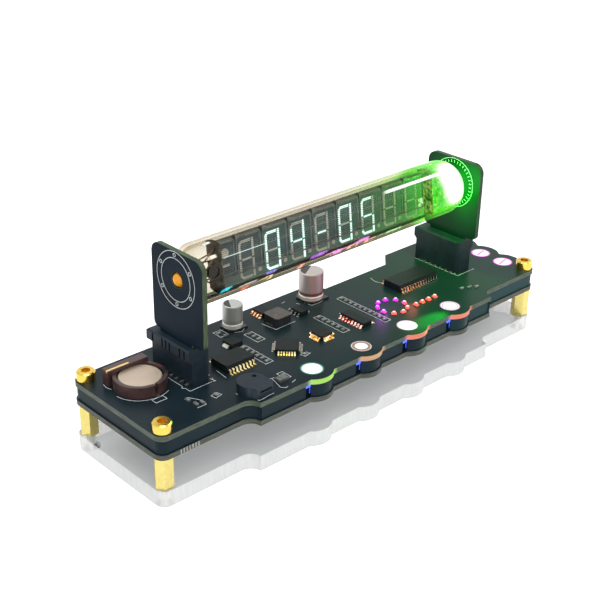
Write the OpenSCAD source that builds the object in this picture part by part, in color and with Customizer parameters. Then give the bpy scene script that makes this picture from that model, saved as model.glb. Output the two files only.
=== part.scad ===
// Desk clock with a horizontal vacuum fluorescent display tube on stacked circuit boards.
// Millimetres. The clock stands on z = 0, its long side runs along X and it reads from -Y.

/* [Layout along the clock] */
// From the left screws' axis to the outer face of the left upright board
left_bay = 21; // [19.5:0.5:27]
// From the outer face of the right upright board to the right screws' axis
right_bay = 16.2; // [14:0.2:22]
// From a socket's inner face to the left end of the front tab
tab_left_gap = 2.2; // [0.5:0.1:5]
// From the right end of the front tab to the right socket's inner face
tab_right_gap = 4.5; // [3:0.1:7]

/* [Layout across the clock] */
// Distance between the front and the back screws
screw_span_y = 35.5; // [33:0.5:42]
// How far the display tube's axis lies behind the middle of the screws
display_back = 1.8; // [0:0.1:3]
// How far the front tab stands out from the corners' edge
tab_depth = 3.7; // [2:0.1:4.6]
// From the screws' axes to the edge of the boards
edge_margin = 3.1; // [2.9:0.1:4.5]
// Radius of the boards' outer corners
corner_r = 3; // [1:0.5:3.5]

/* [Stack] */
// Thickness of the clear acrylic base
base_t = 5; // [3:0.5:8]
// Height of the hexagonal standoffs
standoff_h = 10; // [6:0.5:20]
// Thickness of each printed circuit board
board_t = 1.6; // [1.2:0.2:2]
// Thickness of the dark spacer between the two boards
spacer_t = 4.3; // [3.5:0.1:6]
// How far the spacer's edge lies inside the boards' edge
spacer_inset = 0.4; // [0.2:0.1:0.8]

/* [Screws and standoffs] */
// Thread diameter of all screws
screw_d = 3; // [2.5:0.5:3]
// Head diameter of the cap screws
head_d = 5.5; // [5:0.1:6]
// Head height of the cap screws
head_h = 3; // [2:0.1:3.5]
// Width across the flats of the hexagonal key hole
key_af = 2.5; // [2:0.1:3]
// Depth of the hexagonal key hole
key_depth = 1.6; // [1:0.1:1.9]
// Head diameter of the countersunk screws under the base
sunk_head_d = 5.6; // [5:0.1:6]
// Width across the flats of the standoffs
standoff_af = 5; // [4.6:0.1:6]

/* [Touch pads] */
// Number of touch pads along the front tab
front_pads = 4; // [3:1:4]
// Number of touch pads at the right end
end_pads = 3; // [2:1:3]
// Diameter of the translucent window in a touch pad
pad_d = 6.2; // [5.4:0.1:7.6]
// Radius of the round edge bump beside each touch pad
bump_r = 6.4; // [5.8:0.1:6.8]
// From the tab's straight edge in to the middle of its pads
pad_setback = 4.5; // [4.2:0.1:5.2]
// From the tab's left end to the middle of its first pad
first_pad_in = 23.7; // [20:0.1:28]
// From the middle of the last pad to the tab's right end
last_pad_in = 15.4; // [12:0.1:19]
// Distance between the touch pads at the right end
end_pad_pitch = 9.8; // [9:0.1:11]
// From the right screws' axis in to the middle of the end pads
end_pad_in = 1.4; // [0.5:0.1:2.5]

/* [Back recess and power inlet] */
// Length of the straight floor of the recess in the back edge
recess_len = 29; // [20:0.5:34]
// Depth of the recess in the back edge
recess_depth = 5.5; // [4.5:0.1:7]
// Width of the power inlet's metal shell
inlet_w = 8.9; // [8:0.1:10]
// Height of the power inlet's metal shell
inlet_h = 3.2; // [2.8:0.1:3.3]
// Length of the power inlet's metal shell
inlet_len = 7.3; // [6:0.1:9]
// Wall of the power inlet's metal shell
inlet_wall = 0.3; // [0.2:0.05:0.4]

/* [Upright boards and sockets] */
// Width of the upright end boards
post_w = 22.5; // [20:0.5:25]
// Height of the upright boards above their lower shoulders
post_h = 26.5; // [24:0.5:30]
// Radius of the upright boards' upper corners
post_r = 3.2; // [2:0.1:5]
// Radius of the upright boards' lower corners
post_foot_r = 1.8; // [1:0.1:2.5]
// Width of the tongue that plugs into the socket
tongue_w = 14.4; // [12:0.2:15]
// Length of the tongue that plugs into the socket
tongue_len = 8.6; // [6:0.1:9.5]
// Height of the sockets above the top board
socket_h = 11.5; // [11:0.1:14]
// Length of the sockets across the clock
socket_len = 18.6; // [17.8:0.2:19.4]
// Wall of the socket outside the upright board
socket_outer = 1.2; // [1:0.1:1.6]
// From the upright board's inner face to the socket's inner face
socket_inner = 3.8; // [3:0.1:4.6]
// How far the socket's collar stands out over its body
collar_out = 1.1; // [0.6:0.1:1.4]
// Height of the socket's collar
collar_h = 3.2; // [2:0.1:4]
// Number of solder feet along each side of a socket
socket_feet = 7; // [5:1:8]

/* [Display tube] */
// Outer diameter of the glass
tube_d = 18; // [17.4:0.1:18.8]
// Thickness of the glass
glass_t = 1; // [0.8:0.1:1.2]
// Radius of the glass shoulder at the lead end
stem_r = 4.2; // [3:0.1:5]
// Radius of the rounded far end of the glass
dome_r = 6.6; // [5:0.1:8]
// Gap between the left upright board and the glass
stem_gap = 1.6; // [1:0.1:2.5]
// From the upright boards' shoulders up to the tube's axis
axis_up = 17.9; // [17:0.1:18.4]
// Diameter of the sealed tip on the lead end
tip_d = 4.2; // [3.5:0.1:4.6]
// Diameter of the hole in the left upright board for the tip
tip_hole_d = 5; // [4.8:0.1:6]
// How far the tip stands out of the left upright board
tip_out = 0.8; // [0.2:0.1:1.5]
// How far the display leans back inside the glass, in degrees
lean = 7; // [0:1:12]
// Number of digits
digits = 8; // [6:1:8]
// Distance between digits
digit_pitch = 10; // [9.4:0.1:10.4]
// Height of the plate that the digits leave bare
digit_margin = 3.2; // [2.8:0.1:4.6]
// Width of a digit between the middles of its bars
digit_w = 4.9; // [4:0.1:5.4]
// Width of the digits' bars
bar_w = 0.75; // [0.5:0.05:0.9]
// Gap between the glass and the plate that carries the digits, above and below
plate_gap = 0.74; // [0.6:0.02:1.2]
// Thickness of the plate that carries the digits
plate_t = 1; // [0.6:0.1:1.4]
// From the far end of the display's frame to the rounded end of the glass
dome_room = 13.15; // [10:0.05:20]
// Number of stretched wires in each control grid
grid_wires = 18; // [10:1:20]

/* [Coin cell and holder] */
// Diameter of the coin cell
cell_d = 12.5; // [11.5:0.1:12.6]
// Thickness of the coin cell
cell_t = 2; // [1.6:0.1:2.2]
// Height of the round wall of the cell holder
holder_h = 3.5; // [3.4:0.1:4.2]
// Height of the square block at the back of the cell holder
block_h = 4.8; // [4.7:0.1:5.6]
// Thickness of the round wall of the cell holder
holder_wall = 1.1; // [0.8:0.1:1.2]

/* [Capacitors and inductor] */
// Diameter of the small capacitor's can
small_can_d = 6.3; // [5:0.1:6.6]
// Height of the small capacitor
small_can_h = 8.1; // [5:0.1:9]
// Diameter of the large capacitor's can
large_can_d = 8; // [6.3:0.1:8.4]
// Height of the large capacitor
large_can_h = 9.8; // [7:0.1:12]
// Side of the square power inductor
inductor_w = 6.6; // [5:0.1:7]
// Height of the power inductor
inductor_h = 3; // [2:0.1:4]

/* [Buzzer] */
// Diameter of the buzzer
buzzer_w = 8.6; // [7.2:0.1:9]
// Height of the buzzer
buzzer_h = 3.4; // [2.5:0.1:4]

/* [Chips] */
// Length of the display driver chip's body
driver_len = 17.9; // [16:0.1:19]
// Width of the display driver chip's body
driver_w = 7.5; // [6.8:0.1:8]
// Length of the clock chip's body
timer_len = 10.3; // [9:0.1:10.8]
// Width of the clock chip's body
timer_w = 7.5; // [6.4:0.1:7.8]
// Height of the wide chips
wide_chip_h = 2.4; // [1.8:0.1:2.8]
// Side of the microcontroller's square body
micro_w = 7; // [6:0.1:7.2]
// Side of the interface chip's square body
square_chip_w = 5; // [4:0.1:5.4]
// Length of the logic chip's body
logic_len = 9.9; // [8:0.1:10.4]
// Width of the narrow chips' bodies
narrow_chip_w = 3.9; // [3.4:0.1:4.2]
// Length of the boost converter chip's body
boost_len = 4.9; // [4:0.1:5.2]
// Height of the flat chips
flat_chip_h = 1.5; // [1:0.1:1.8]

/* [Indicator lamps] */
// Number of small lamps in the ring
ring_lamps = 9; // [6:1:10]
// Radius of the ring of small lamps
ring_r = 4.9; // [4:0.1:5.4]
// Number of small lamps in the row
row_lamps = 4; // [2:1:4]
// Distance between the small lamps in the row
row_pitch = 3; // [2.4:0.1:3.2]

/* [Hidden] */
$fn = 48;

// One overrun serves every cut
over = 0.5;
// Running clearance between a thread and its hole
thread_clear = 0.05;
// Clearance of a screw in a board or in the base
board_clear = 0.1;
// Gap round a disc that is set in a board
disc_clear = 0.05;
// Clearance of a tongue in its socket, to each side
tongue_clear = 0.15;
// Gap left where a piece of another body comes to rest
seat_gap = 0.05;
// Bevel round the cap screws' heads
head_bevel = 0.35;
// Share of the standoff's height that each screw enters
thread_share = 0.47;

// Heights of the stack
z_base_top = base_t;
z_lower = base_t + standoff_h;
z_spacer = z_lower + board_t;
z_upper = z_spacer + spacer_t;
z_deck = z_upper + board_t;

// The tube's length follows its digits, and the gap between the upright boards follows the tube
first_digit_in = 22.5;
frame_end_gap = 1.4;
light_t = 0.9;
glass_len = first_digit_in + (digits - 0.5) * digit_pitch + frame_end_gap + dome_room;
tube_gap = stem_gap + glass_len + disc_clear + light_t;

// Places along the clock, from the left screws' axis
left_face = left_bay;
left_inner = left_bay + board_t;
right_inner = left_inner + tube_gap;
right_face = right_inner + board_t;
screw_span_x = right_face + right_bay;
tab_x0 = left_inner + socket_inner + tab_left_gap;
tab_x1 = right_inner - socket_inner - tab_right_gap;
tab_len = tab_x1 - tab_x0;
pad_pitch = (tab_len - first_pad_in - last_pad_in) / (front_pads - 1);

// Places across the clock, from the front screws' axis
front_edge = -edge_margin;
tab_edge = front_edge - tab_depth;
back_edge = screw_span_y + edge_margin;
deck_depth = back_edge - tab_edge;
axis_y = screw_span_y / 2 + display_back;
pad_y = tab_edge + pad_setback;
end_pad_x = screw_span_x - end_pad_in;

// The clock's box, whose middle stands over the origin
box_x0 = -edge_margin;
box_x1 = end_pad_x + bump_r;
box_y0 = pad_y - bump_r;
box_y1 = back_edge;

// Where the recess in the back edge lies along the tab
recess_share = 0.777;
recess_x = tab_x0 + tab_len * recess_share;

// Places of the parts on the top board, as shares of the tab's length and of the deck's depth
small_can_shares = [0.230, 0.868];
large_can_shares = [0.550, 0.842];
inductor_shares = [0.357, 0.722];
boost_shares = [0.357, 0.885];
transistor_shares = [0.449, 0.718];
rectifier_shares = [0.156, 0.673];
timer_shares = [0.083, 0.482];
buzzer_shares = [0.024, 0.145];
micro_shares = [0.263, 0.398];
interface_shares = [0.396, 0.376];
logic_shares = [0.545, 0.378];
driver_shares = [0.884, 0.557];
ring_shares = [0.700, 0.357];
crystal_shares = [0.127, 0.121];
// Small parts on the open deck, then rows of them by the place and the count of each row
resistor_shares = [[0.168, 0.853], [0.178, 0.800], [0.280, 0.262], [0.148, 0.158], [0.971, 0.224],
    [1.000, 0.200], [1.020, 0.172]];
resistor_row_shares = [[0.168, 0.359, 6], [0.237, 0.617, 3], [0.473, 0.342, 6], [0.620, 0.259, 10]];
// Small parts in the left bay, as shares of the bay and of the screws' distance
bay_resistor_shares = [[0.69, 0.215], [0.71, 0.125], [0.80, 0.110], [1.05, 0.125]];

function deck_x(shares) = tab_x0 + tab_len * shares[0];
function deck_y(shares) = tab_edge + deck_depth * shares[1];

// Sizes of small pieces
lead_t = 0.25;
lead_w = 0.42;
lead_pitch = 1.27;
lead_reach = 1.5;
fine_lead_pitch = 0.8;
fine_lead_reach = 1.1;
chip_stand = 0.1;
resistor_len = 1.6;
resistor_w = 0.8;
resistor_h = 0.5;
resistor_cap = 0.35;
resistor_pitch = 2.15;
lamp_len = 1.6;
lamp_w = 1.1;
lamp_base_h = 0.35;
lamp_lens_r = 0.7;
well_led_w = 3.2;
well_led_h = 1.4;
well_ledge = 0.4;
side_led_len = 1.8;
side_led_w = 1;
contact_count = 7;
contact_pitch = 1;
contact_w = 0.42;
contact_t = 0.1;
contact_first = 3.4;

// Sizes inside the tube, in the frame of its axis with the display upright
plate_front = 0.6;
plate_low = 0.2;
digit_drop = 1.2;
bar_t = 0.1;
bar_gap = 0.35;
bar_cut = 1.1;
dot_d = 1.3;
dot_right = 4.6;
dot_lift = 0.95;
disc_mark_d = 2.9;
disc_mark_up = 2.6;
dash_len = 2.9;
dash_up = -1.1;
mark_left = 7.9;
grid_front = 0.8;
grid_t = 0.3;
grid_inset = 0.1;
grid_lift = 2.9;
grid_frame = 0.35;
grid_gap = 0.7;
grid_rail_h = 0.6;
wire_t = 0.1;
filament_front = 2.2;
filament_up = 2.6;
filament_d = 0.2;
mica_t = 0.4;
mica_clear = 0.15;
rail_d = 0.8;
rail_front = 2.4;
rail_in = 0.64;
stem_wires = 10;
wire_fan = 0.38;
stem_wire_d = 0.45;
stem_wire_r = 3.6;
pin_in = 0.8;
pin_wires = 12;
getter_d = 4.4;
getter_t = 0.9;
getter_front = 3.2;
getter_strap = 0.5;
grid_tab_w = 1.6;
grid_tab_h = 0.5;
light_w = 5;

module placed() {
    translate([-(box_x0 + box_x1) / 2, -(box_y0 + box_y1) / 2, 0]) children();
}

module at_screws() {
    for (x = [0, screw_span_x], y = [0, screw_span_y]) translate([x, y]) children();
}

module at_pads() {
    for (i = [0 : front_pads - 1]) translate([tab_x0 + first_pad_in + i * pad_pitch, pad_y]) children();
    for (i = [0 : end_pads - 1])
        translate([end_pad_x, screw_span_y / 2 + (i - (end_pads - 1) / 2) * end_pad_pitch]) children();
}

// The concave corner that joins the corner edge to the end of the tab
module step_fill(inset) {
    difference() {
        square(tab_depth + inset);
        circle(r = tab_depth + inset);
    }
}

// The outline that base, boards and spacer share, drawn in from the edge by an inset
module outline(inset = 0) {
    r = corner_r - inset;
    x0 = -edge_margin + inset;
    x1 = screw_span_x + edge_margin - inset;
    y0 = front_edge + inset;
    y1 = back_edge - inset;
    floor_half = recess_len / 2 + inset * (sqrt(2) - 1);
    mouth_half = recess_len / 2 + inset * sqrt(2) + recess_depth + over;
    difference() {
        union() {
            translate([x0, y0 + r]) square([x1 - x0, y1 - y0 - 2 * r]);
            translate([x0 + r, y0]) square([x1 - x0 - 2 * r, y1 - y0]);
            for (x = [x0 + r, x1 - r], y = [y0 + r, y1 - r]) translate([x, y]) circle(r = r);
            translate([tab_x0 + inset, tab_edge + inset])
                square([tab_len - 2 * inset, tab_depth + edge_margin]);
            translate([tab_x0 - tab_depth, tab_edge]) step_fill(inset);
            translate([tab_x1 + tab_depth, tab_edge]) mirror([1, 0]) step_fill(inset);
            at_pads() circle(r = bump_r - inset);
        }
        translate([recess_x, back_edge - recess_depth])
            polygon([[-floor_half, -inset], [floor_half, -inset],
                [mouth_half, recess_depth + over], [-mouth_half, recess_depth + over]]);
    }
}

module acrylic_base() {
    sink_h = (sunk_head_d - screw_d) / 2;
    color([0.9, 0.93, 0.94, 0.45]) placed() difference() {
        linear_extrude(base_t) outline();
        at_screws() {
            translate([0, 0, -over]) cylinder(d = screw_d + 2 * board_clear, h = base_t + 2 * over);
            cylinder(d1 = sunk_head_d + 2 * board_clear, d2 = screw_d + 2 * board_clear,
                h = sink_h + board_clear);
            translate([0, 0, -over]) cylinder(d = sunk_head_d + 2 * board_clear, h = over);
        }
    }
}

module base_screws() {
    sink_h = (sunk_head_d - screw_d) / 2;
    color("goldenrod") placed() at_screws() difference() {
        union() {
            translate([0, 0, seat_gap]) cylinder(d1 = sunk_head_d, d2 = screw_d, h = sink_h);
            translate([0, 0, seat_gap + sink_h])
                cylinder(d = screw_d, h = base_t + standoff_h * thread_share - sink_h - seat_gap);
        }
        translate([0, 0, seat_gap - over])
            cylinder(d = key_af / cos(30), h = over + sink_h * thread_share, $fn = 6);
    }
}

module standoffs() {
    color("gold") placed() at_screws() translate([0, 0, z_base_top]) difference() {
        cylinder(d = standoff_af / cos(30), h = standoff_h, $fn = 6);
        translate([0, 0, -over]) cylinder(d = screw_d + 2 * thread_clear, h = standoff_h + 2 * over);
    }
}

module board_blank(cut_pads) {
    linear_extrude(board_t) difference() {
        outline();
        at_screws() circle(d = screw_d + 2 * board_clear);
        if (cut_pads) at_pads() circle(d = pad_d);
    }
}

module bottom_board() {
    color("darkslategray") placed() translate([0, 0, z_lower]) board_blank(false);
}

module edge_contacts() {
    color("silver") placed() for (i = [0 : contact_count - 1])
        translate([contact_first + i * contact_pitch, front_edge - contact_t, z_lower])
            cube([contact_w, contact_t, board_t]);
}

module spacer_plate() {
    notch_y = back_edge - recess_depth - inlet_len;
    color([0.1, 0.12, 0.14]) placed() translate([0, 0, z_spacer]) difference() {
        linear_extrude(spacer_t) outline(spacer_inset);
        at_screws() translate([0, 0, -over]) cylinder(d = screw_d + 2 * board_clear, h = spacer_t + 2 * over);
        at_pads() translate([0, 0, -over]) cylinder(d = pad_d - 2 * well_ledge, h = spacer_t + 2 * over);
        translate([recess_x - inlet_w / 2 - board_clear, notch_y - board_clear, -over])
            cube([inlet_w + 2 * board_clear, inlet_len + recess_depth, spacer_t + 2 * over]);
        at_edge_leds() translate([-board_clear, -over, -over])
            cube([side_led_len + 2 * board_clear, side_led_w + over + board_clear, spacer_t + 2 * over]);
    }
}

// Side-shining lamps sit at the left root of each front bump, flush with the spacer's edge
module at_edge_leds() {
    root = sqrt(pow(bump_r - spacer_inset, 2) - pow(pad_setback - spacer_inset, 2));
    for (i = [0 : front_pads - 1])
        translate([tab_x0 + first_pad_in + i * pad_pitch - root - side_led_len, tab_edge + spacer_inset])
            children();
}

module edge_leds() {
    color("royalblue") placed() at_edge_leds() translate([0, 0, z_upper - side_led_w])
        cube([side_led_len, side_led_w, side_led_w]);
}

module pad_leds() {
    color("white") placed() at_pads() translate([-well_led_w / 2, -well_led_w / 2, z_spacer])
        cube([well_led_w, well_led_w, well_led_h]);
}

module power_inlet() {
    r = inlet_h / 2;
    y0 = back_edge - recess_depth - inlet_len;
    tongue_h = inlet_h * 0.22;
    tongue_half = inlet_w / 2 - inlet_h / 2;
    color("silver") placed() translate([recess_x, y0, z_spacer + r]) rotate([-90, 0, 0]) {
        difference() {
            linear_extrude(inlet_len) inlet_section(0);
            translate([0, 0, inlet_wall]) linear_extrude(inlet_len) inlet_section(inlet_wall);
        }
        translate([-tongue_half, -tongue_h / 2, 0])
            cube([2 * tongue_half, tongue_h, inlet_len - inlet_h / 2]);
    }
}

module inlet_section(inset) {
    r = inlet_h / 2;
    for (s = [-1, 1]) translate([s * (inlet_w / 2 - r), 0]) circle(r = r - inset);
    translate([-(inlet_w / 2 - r), -(r - inset)]) square([inlet_w - 2 * r, 2 * (r - inset)]);
}

module top_board() {
    color([0.13, 0.18, 0.22]) placed() translate([0, 0, z_upper]) board_blank(true);
}

module pad_windows() {
    color("white") placed() at_pads() translate([0, 0, z_upper])
        cylinder(d = pad_d - 2 * disc_clear, h = board_t);
}

module top_screws() {
    stack_t = 2 * board_t + spacer_t;
    color("gold") placed() at_screws() translate([0, 0, z_deck]) difference() {
        union() {
            cylinder(d = head_d, h = head_h - head_bevel);
            translate([0, 0, head_h - head_bevel])
                cylinder(d1 = head_d, d2 = head_d - 2 * head_bevel, h = head_bevel);
            translate([0, 0, -stack_t - standoff_h * thread_share])
                cylinder(d = screw_d, h = stack_t + standoff_h * thread_share);
        }
        translate([0, 0, head_h - key_depth]) cylinder(d = key_af / cos(30), h = key_depth + over, $fn = 6);
    }
}

// Sockets are drawn with the upright board's middle plane at x = 0 and the tube on their -X side
socket_x0 = -(board_t / 2 + socket_inner);
socket_x1 = board_t / 2 + socket_outer;
socket_y0 = axis_y + post_w / 2 - socket_len - tongue_clear;
foot_gap = 0.8;
post_foot_z = z_deck + socket_h + foot_gap;
slot_depth = tongue_len + seat_gap - foot_gap;
axis_z = post_foot_z + axis_up;
tongue_y0 = socket_y0 + (socket_len - tongue_w) / 2 - socket_outer / 2;
window_w = 0.7;
window_depth = 0.9;
socket_bevel = 0.5;
foot_w = 0.6;
foot_len = 1;
foot_t = 0.3;
// Places of the collar's windows, as shares of the socket's length
window_shares = [0.12, 0.23, 0.48, 0.57, 0.66, 0.90];

// Outline of a socket from a plain edge at u0 to a flared edge at u1, in width and height
module socket_profile(u0, u1) {
    polygon([[u0, 0], [u1, 0], [u1, socket_h - collar_h - collar_out], [u1 + collar_out, socket_h - collar_h],
        [u1 + collar_out, socket_h - socket_bevel], [u1 + collar_out - socket_bevel, socket_h],
        [u0 + socket_bevel, socket_h], [u0, socket_h - socket_bevel]]);
}

module socket_body() {
    translate([0, 0, z_deck]) difference() {
        intersection() {
            translate([0, socket_y0 + socket_len + collar_out, 0]) rotate([90, 0, 0])
                linear_extrude(socket_len + collar_out) socket_profile(socket_x0, socket_x1);
            translate([socket_x0, 0, 0]) rotate([90, 0, 90])
                linear_extrude(socket_x1 - socket_x0 + collar_out)
                    socket_profile(socket_y0, socket_y0 + socket_len);
        }
        translate([-board_t / 2 - tongue_clear, tongue_y0 - tongue_clear, socket_h - slot_depth])
            cube([board_t + 2 * tongue_clear, tongue_w + 2 * tongue_clear, slot_depth + over]);
        for (s = window_shares)
            translate([socket_x1 + collar_out - window_depth, socket_y0 + s * socket_len - window_w / 2,
                    socket_h - collar_h])
                cube([window_depth + over, window_w, collar_h - socket_bevel]);
        // Rounded front corner on the tube's side
        translate([socket_x0 - over, socket_y0 - over, -over]) difference() {
            cube([collar_h / 2 + over, collar_h / 2 + over, socket_h + 2 * over]);
            translate([collar_h / 2 + over, collar_h / 2 + over, -over])
                cylinder(r = collar_h / 2, h = socket_h + 4 * over);
        }
    }
}

module socket_feet_rows() {
    step = (socket_len - 2 * foot_len) / socket_feet;
    for (i = [0 : socket_feet - 1], x = [socket_x0 - foot_len, socket_x1])
        translate([x, socket_y0 + foot_len + (i + 0.5) * step - foot_w / 2, z_deck])
            cube([foot_len, foot_w, foot_t]);
}

module at_left_post() {
    placed() translate([left_face + board_t / 2, 0, 0]) mirror([1, 0, 0]) children();
}

module at_right_post() {
    placed() translate([right_inner + board_t / 2, 0, 0]) children();
}

module left_socket() {
    color([0.08, 0.1, 0.13]) at_left_post() socket_body();
}

module left_socket_feet() {
    color("silver") at_left_post() socket_feet_rows();
}

module right_socket() {
    color([0.08, 0.1, 0.13]) at_right_post() socket_body();
}

module right_socket_feet() {
    color("silver") at_right_post() socket_feet_rows();
}

// An upright board, drawn in the plane of Y and Z and pushed out along X
module post_plate(hole_d) {
    translate([-board_t / 2, 0, 0]) rotate([90, 0, 90]) linear_extrude(board_t) difference() {
        union() {
            translate([axis_y - post_w / 2, post_foot_z]) {
                translate([0, post_foot_r]) square([post_w, post_h - post_foot_r - post_r]);
                translate([post_foot_r, 0]) square([post_w - 2 * post_foot_r, post_h / 2]);
                translate([post_r, post_h / 2]) square([post_w - 2 * post_r, post_h / 2]);
                for (y = [post_foot_r, post_w - post_foot_r])
                    translate([y, post_foot_r]) circle(r = post_foot_r);
                for (y = [post_r, post_w - post_r]) translate([y, post_h - post_r]) circle(r = post_r);
            }
            translate([tongue_y0, post_foot_z - tongue_len]) square([tongue_w, tongue_len + post_foot_r]);
        }
        if (hole_d > 0) translate([axis_y, axis_z]) circle(d = hole_d);
    }
}

module left_post() {
    color([0.13, 0.18, 0.22]) at_left_post() post_plate(tip_hole_d);
}

module right_post() {
    color([0.13, 0.18, 0.22]) at_right_post() post_plate(0);
}

// Holder for the coin cell, whose middle is measured from the left screws and the back screws
cell_x = 9.6;
cell_back = 12.7;
cell_y = screw_span_y - cell_back;
cell_stand = 1.2;
cell_clear = 0.35;
cell_lip = 1.35;
cell_over = 0.6;
block_left = 7.3;
block_right = 6.4;
block_back = 1.2;
slot_w = 1;
spring_t = 0.3;
hook_w = 3.4;
hook_angle = -21;
contact_len = 7.6;
contact_bar_w = 0.8;
contact_bar_h = 0.6;
cell_r = cell_d / 2;
pocket_r = cell_r + cell_clear;
holder_r = pocket_r + holder_wall;

module at_cell() {
    placed() translate([cell_x, cell_y, z_deck]) children();
}

module cell_holder() {
    color([0.3, 0.2, 0.19]) at_cell() difference() {
        union() {
            cylinder(r = holder_r, h = holder_h);
            translate([-block_left, cell_r - cell_lip, 0])
                cube([block_left + block_right, cell_lip + cell_clear + block_back, block_h]);
        }
        // Round pocket, left covered by the block at the back
        translate([0, 0, cell_stand]) cylinder(r = pocket_r, h = cell_t + cell_over);
        translate([0, 0, cell_stand]) intersection() {
            cylinder(r = pocket_r, h = block_h);
            translate([-holder_r, -holder_r - over, 0])
                cube([2 * holder_r, holder_r + over + cell_r - cell_lip, block_h]);
        }
        // Groove in the block for the contact bar
        translate([-block_left - over, cell_r - cell_lip + contact_bar_w / 2, block_h - contact_bar_h])
            cube([contact_len + over, contact_bar_w, contact_bar_h + over]);
        // Upright slot at the front for the lower contact's foot
        translate([-slot_w / 2, -holder_r - over, -over])
            cube([slot_w, holder_wall + over + cell_clear, holder_h + 2 * over]);
        // Room under the cell for the lower contact
        translate([-slot_w / 2, -holder_r - over, -over])
            cube([slot_w, holder_r + cell_r / 2, cell_stand + 2 * over]);
        rotate([0, 0, hook_angle]) translate([pocket_r - over, -hook_w / 2 - disc_clear, -over])
            cube([holder_wall + 2 * over, hook_w + 2 * disc_clear, holder_h + 2 * over]);
    }
}

module cell_hook() {
    color([0.05, 0.05, 0.06]) at_cell() rotate([0, 0, hook_angle]) intersection() {
        translate([pocket_r - holder_wall, -hook_w / 2, 0]) cube([2 * holder_wall, hook_w, holder_h]);
        difference() {
            cylinder(r = holder_r, h = holder_h);
            translate([0, 0, -over]) cylinder(r = pocket_r, h = holder_h + 2 * over);
        }
    }
}

module cell_contact() {
    color("gold") at_cell()
        translate([-block_left, cell_r - cell_lip + contact_bar_w / 2 + disc_clear, block_h - contact_bar_h])
            cube([contact_len - disc_clear, contact_bar_w - 2 * disc_clear, contact_bar_h]);
}

module cell_spring() {
    leaf_w = slot_w - 2 * disc_clear;
    leaf_y = holder_r + foot_len;
    color("silver") at_cell() {
        translate([-leaf_w / 2, -leaf_y, 0]) cube([leaf_w, leaf_y + cell_r / 2 - cell_lip, spring_t]);
        translate([-leaf_w / 2, -spring_t, 0]) cube([leaf_w, 2 * spring_t, cell_stand - seat_gap]);
    }
}

module coin_cell() {
    rim = cell_t / 4;
    color([0.8, 0.78, 0.74]) at_cell() translate([0, 0, cell_stand]) rotate_extrude()
        polygon([[0, 0], [cell_r - 2 * rim, 0], [cell_r - rim, rim / 2], [cell_r - rim / 2, rim],
            [cell_r, 2 * rim], [cell_r, cell_t - rim / 2], [cell_r - rim / 2, cell_t], [0, cell_t]]);
}

// Can capacitors: a chamfered square base with a beaded aluminium can
can_base_h = 0.6;
can_base_over = 0.3;
can_bead = 0.35;
can_neck = 1.4;
can_foot_w = 0.7;
can_foot_out = 0.6;

module can_base(d) {
    w = d + can_base_over;
    cut = w / 5;
    linear_extrude(can_base_h) polygon([[-w / 2 + cut, -w / 2], [w / 2, -w / 2], [w / 2, w / 2],
        [-w / 2 + cut, w / 2], [-w / 2, w / 2 - cut], [-w / 2, -w / 2 + cut]]);
    translate([-w / 2 - can_foot_out, -can_foot_w / 2, 0]) cube([w + 2 * can_foot_out, can_foot_w, foot_t]);
}

module can_shell(d, h) {
    r = d / 2;
    top = h - can_base_h;
    translate([0, 0, can_base_h]) rotate_extrude() difference() {
        union() {
            square([r, top - can_bead]);
            square([r - can_bead, top]);
            translate([r - can_bead, top - can_bead]) circle(r = can_bead);
        }
        translate([r + can_bead / 3, can_neck]) circle(r = can_bead);
        translate([-d, 0]) square([d, top]);
    }
}

module at_deck(shares) {
    placed() translate([deck_x(shares), deck_y(shares), z_deck]) children();
}

module small_capacitor_base() {
    color([0.1, 0.1, 0.11]) at_deck(small_can_shares) can_base(small_can_d);
}

module small_capacitor_can() {
    color("lightgray") at_deck(small_can_shares) can_shell(small_can_d, small_can_h);
}

module large_capacitor_base() {
    color([0.1, 0.1, 0.11]) at_deck(large_can_shares) can_base(large_can_d);
}

module large_capacitor_can() {
    color("lightgray") at_deck(large_can_shares) can_shell(large_can_d, large_can_h);
}

// A square with its four corners cut
module cut_square(w, cut) {
    polygon([[-w / 2 + cut, -w / 2], [w / 2 - cut, -w / 2], [w / 2, -w / 2 + cut], [w / 2, w / 2 - cut],
        [w / 2 - cut, w / 2], [-w / 2 + cut, w / 2], [-w / 2, w / 2 - cut], [-w / 2, -w / 2 + cut]]);
}

module power_inductor() {
    w = inductor_w;
    cut = w / 9;
    color([0.35, 0.35, 0.33]) at_deck(inductor_shares) {
        linear_extrude(inductor_h) cut_square(w, cut);
        translate([-w / 2 - foot_t, -w / 4, 0]) cube([w + 2 * foot_t, w / 2, foot_t]);
    }
}

// A moulded chip body with drafted long sides, standing just clear of the board
module chip_body(len, w, h) {
    draft = h / 8;
    rotate([90, 0, 90]) translate([0, 0, -len / 2]) linear_extrude(len)
        polygon([[-w / 2 + draft, chip_stand], [w / 2 - draft, chip_stand], [w / 2, h / 2],
            [w / 2 - draft, h], [-w / 2 + draft, h], [-w / 2, h / 2]]);
}

// One gull-wing lead, leaving the body along +Y from y = 0
module gull_lead(reach, rise) {
    shoulder = reach / 3;
    rotate([90, 0, 90]) translate([0, 0, -lead_w / 2]) linear_extrude(lead_w)
        polygon([[0, rise], [shoulder + lead_t / 2, rise], [shoulder + lead_t, lead_t], [reach, lead_t],
            [reach, 0], [shoulder, 0], [shoulder - lead_t / 2, rise - lead_t], [0, rise - lead_t]]);
}

module lead_row(count, pitch, half_w, reach, rise) {
    for (i = [0 : count - 1]) translate([(i - (count - 1) / 2) * pitch, half_w, 0]) gull_lead(reach, rise);
}

module two_lead_rows(count, pitch, w, reach, h) {
    for (a = [0, 180]) rotate([0, 0, a]) lead_row(count, pitch, w / 2, reach, h / 2 + lead_t / 2);
}

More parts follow.
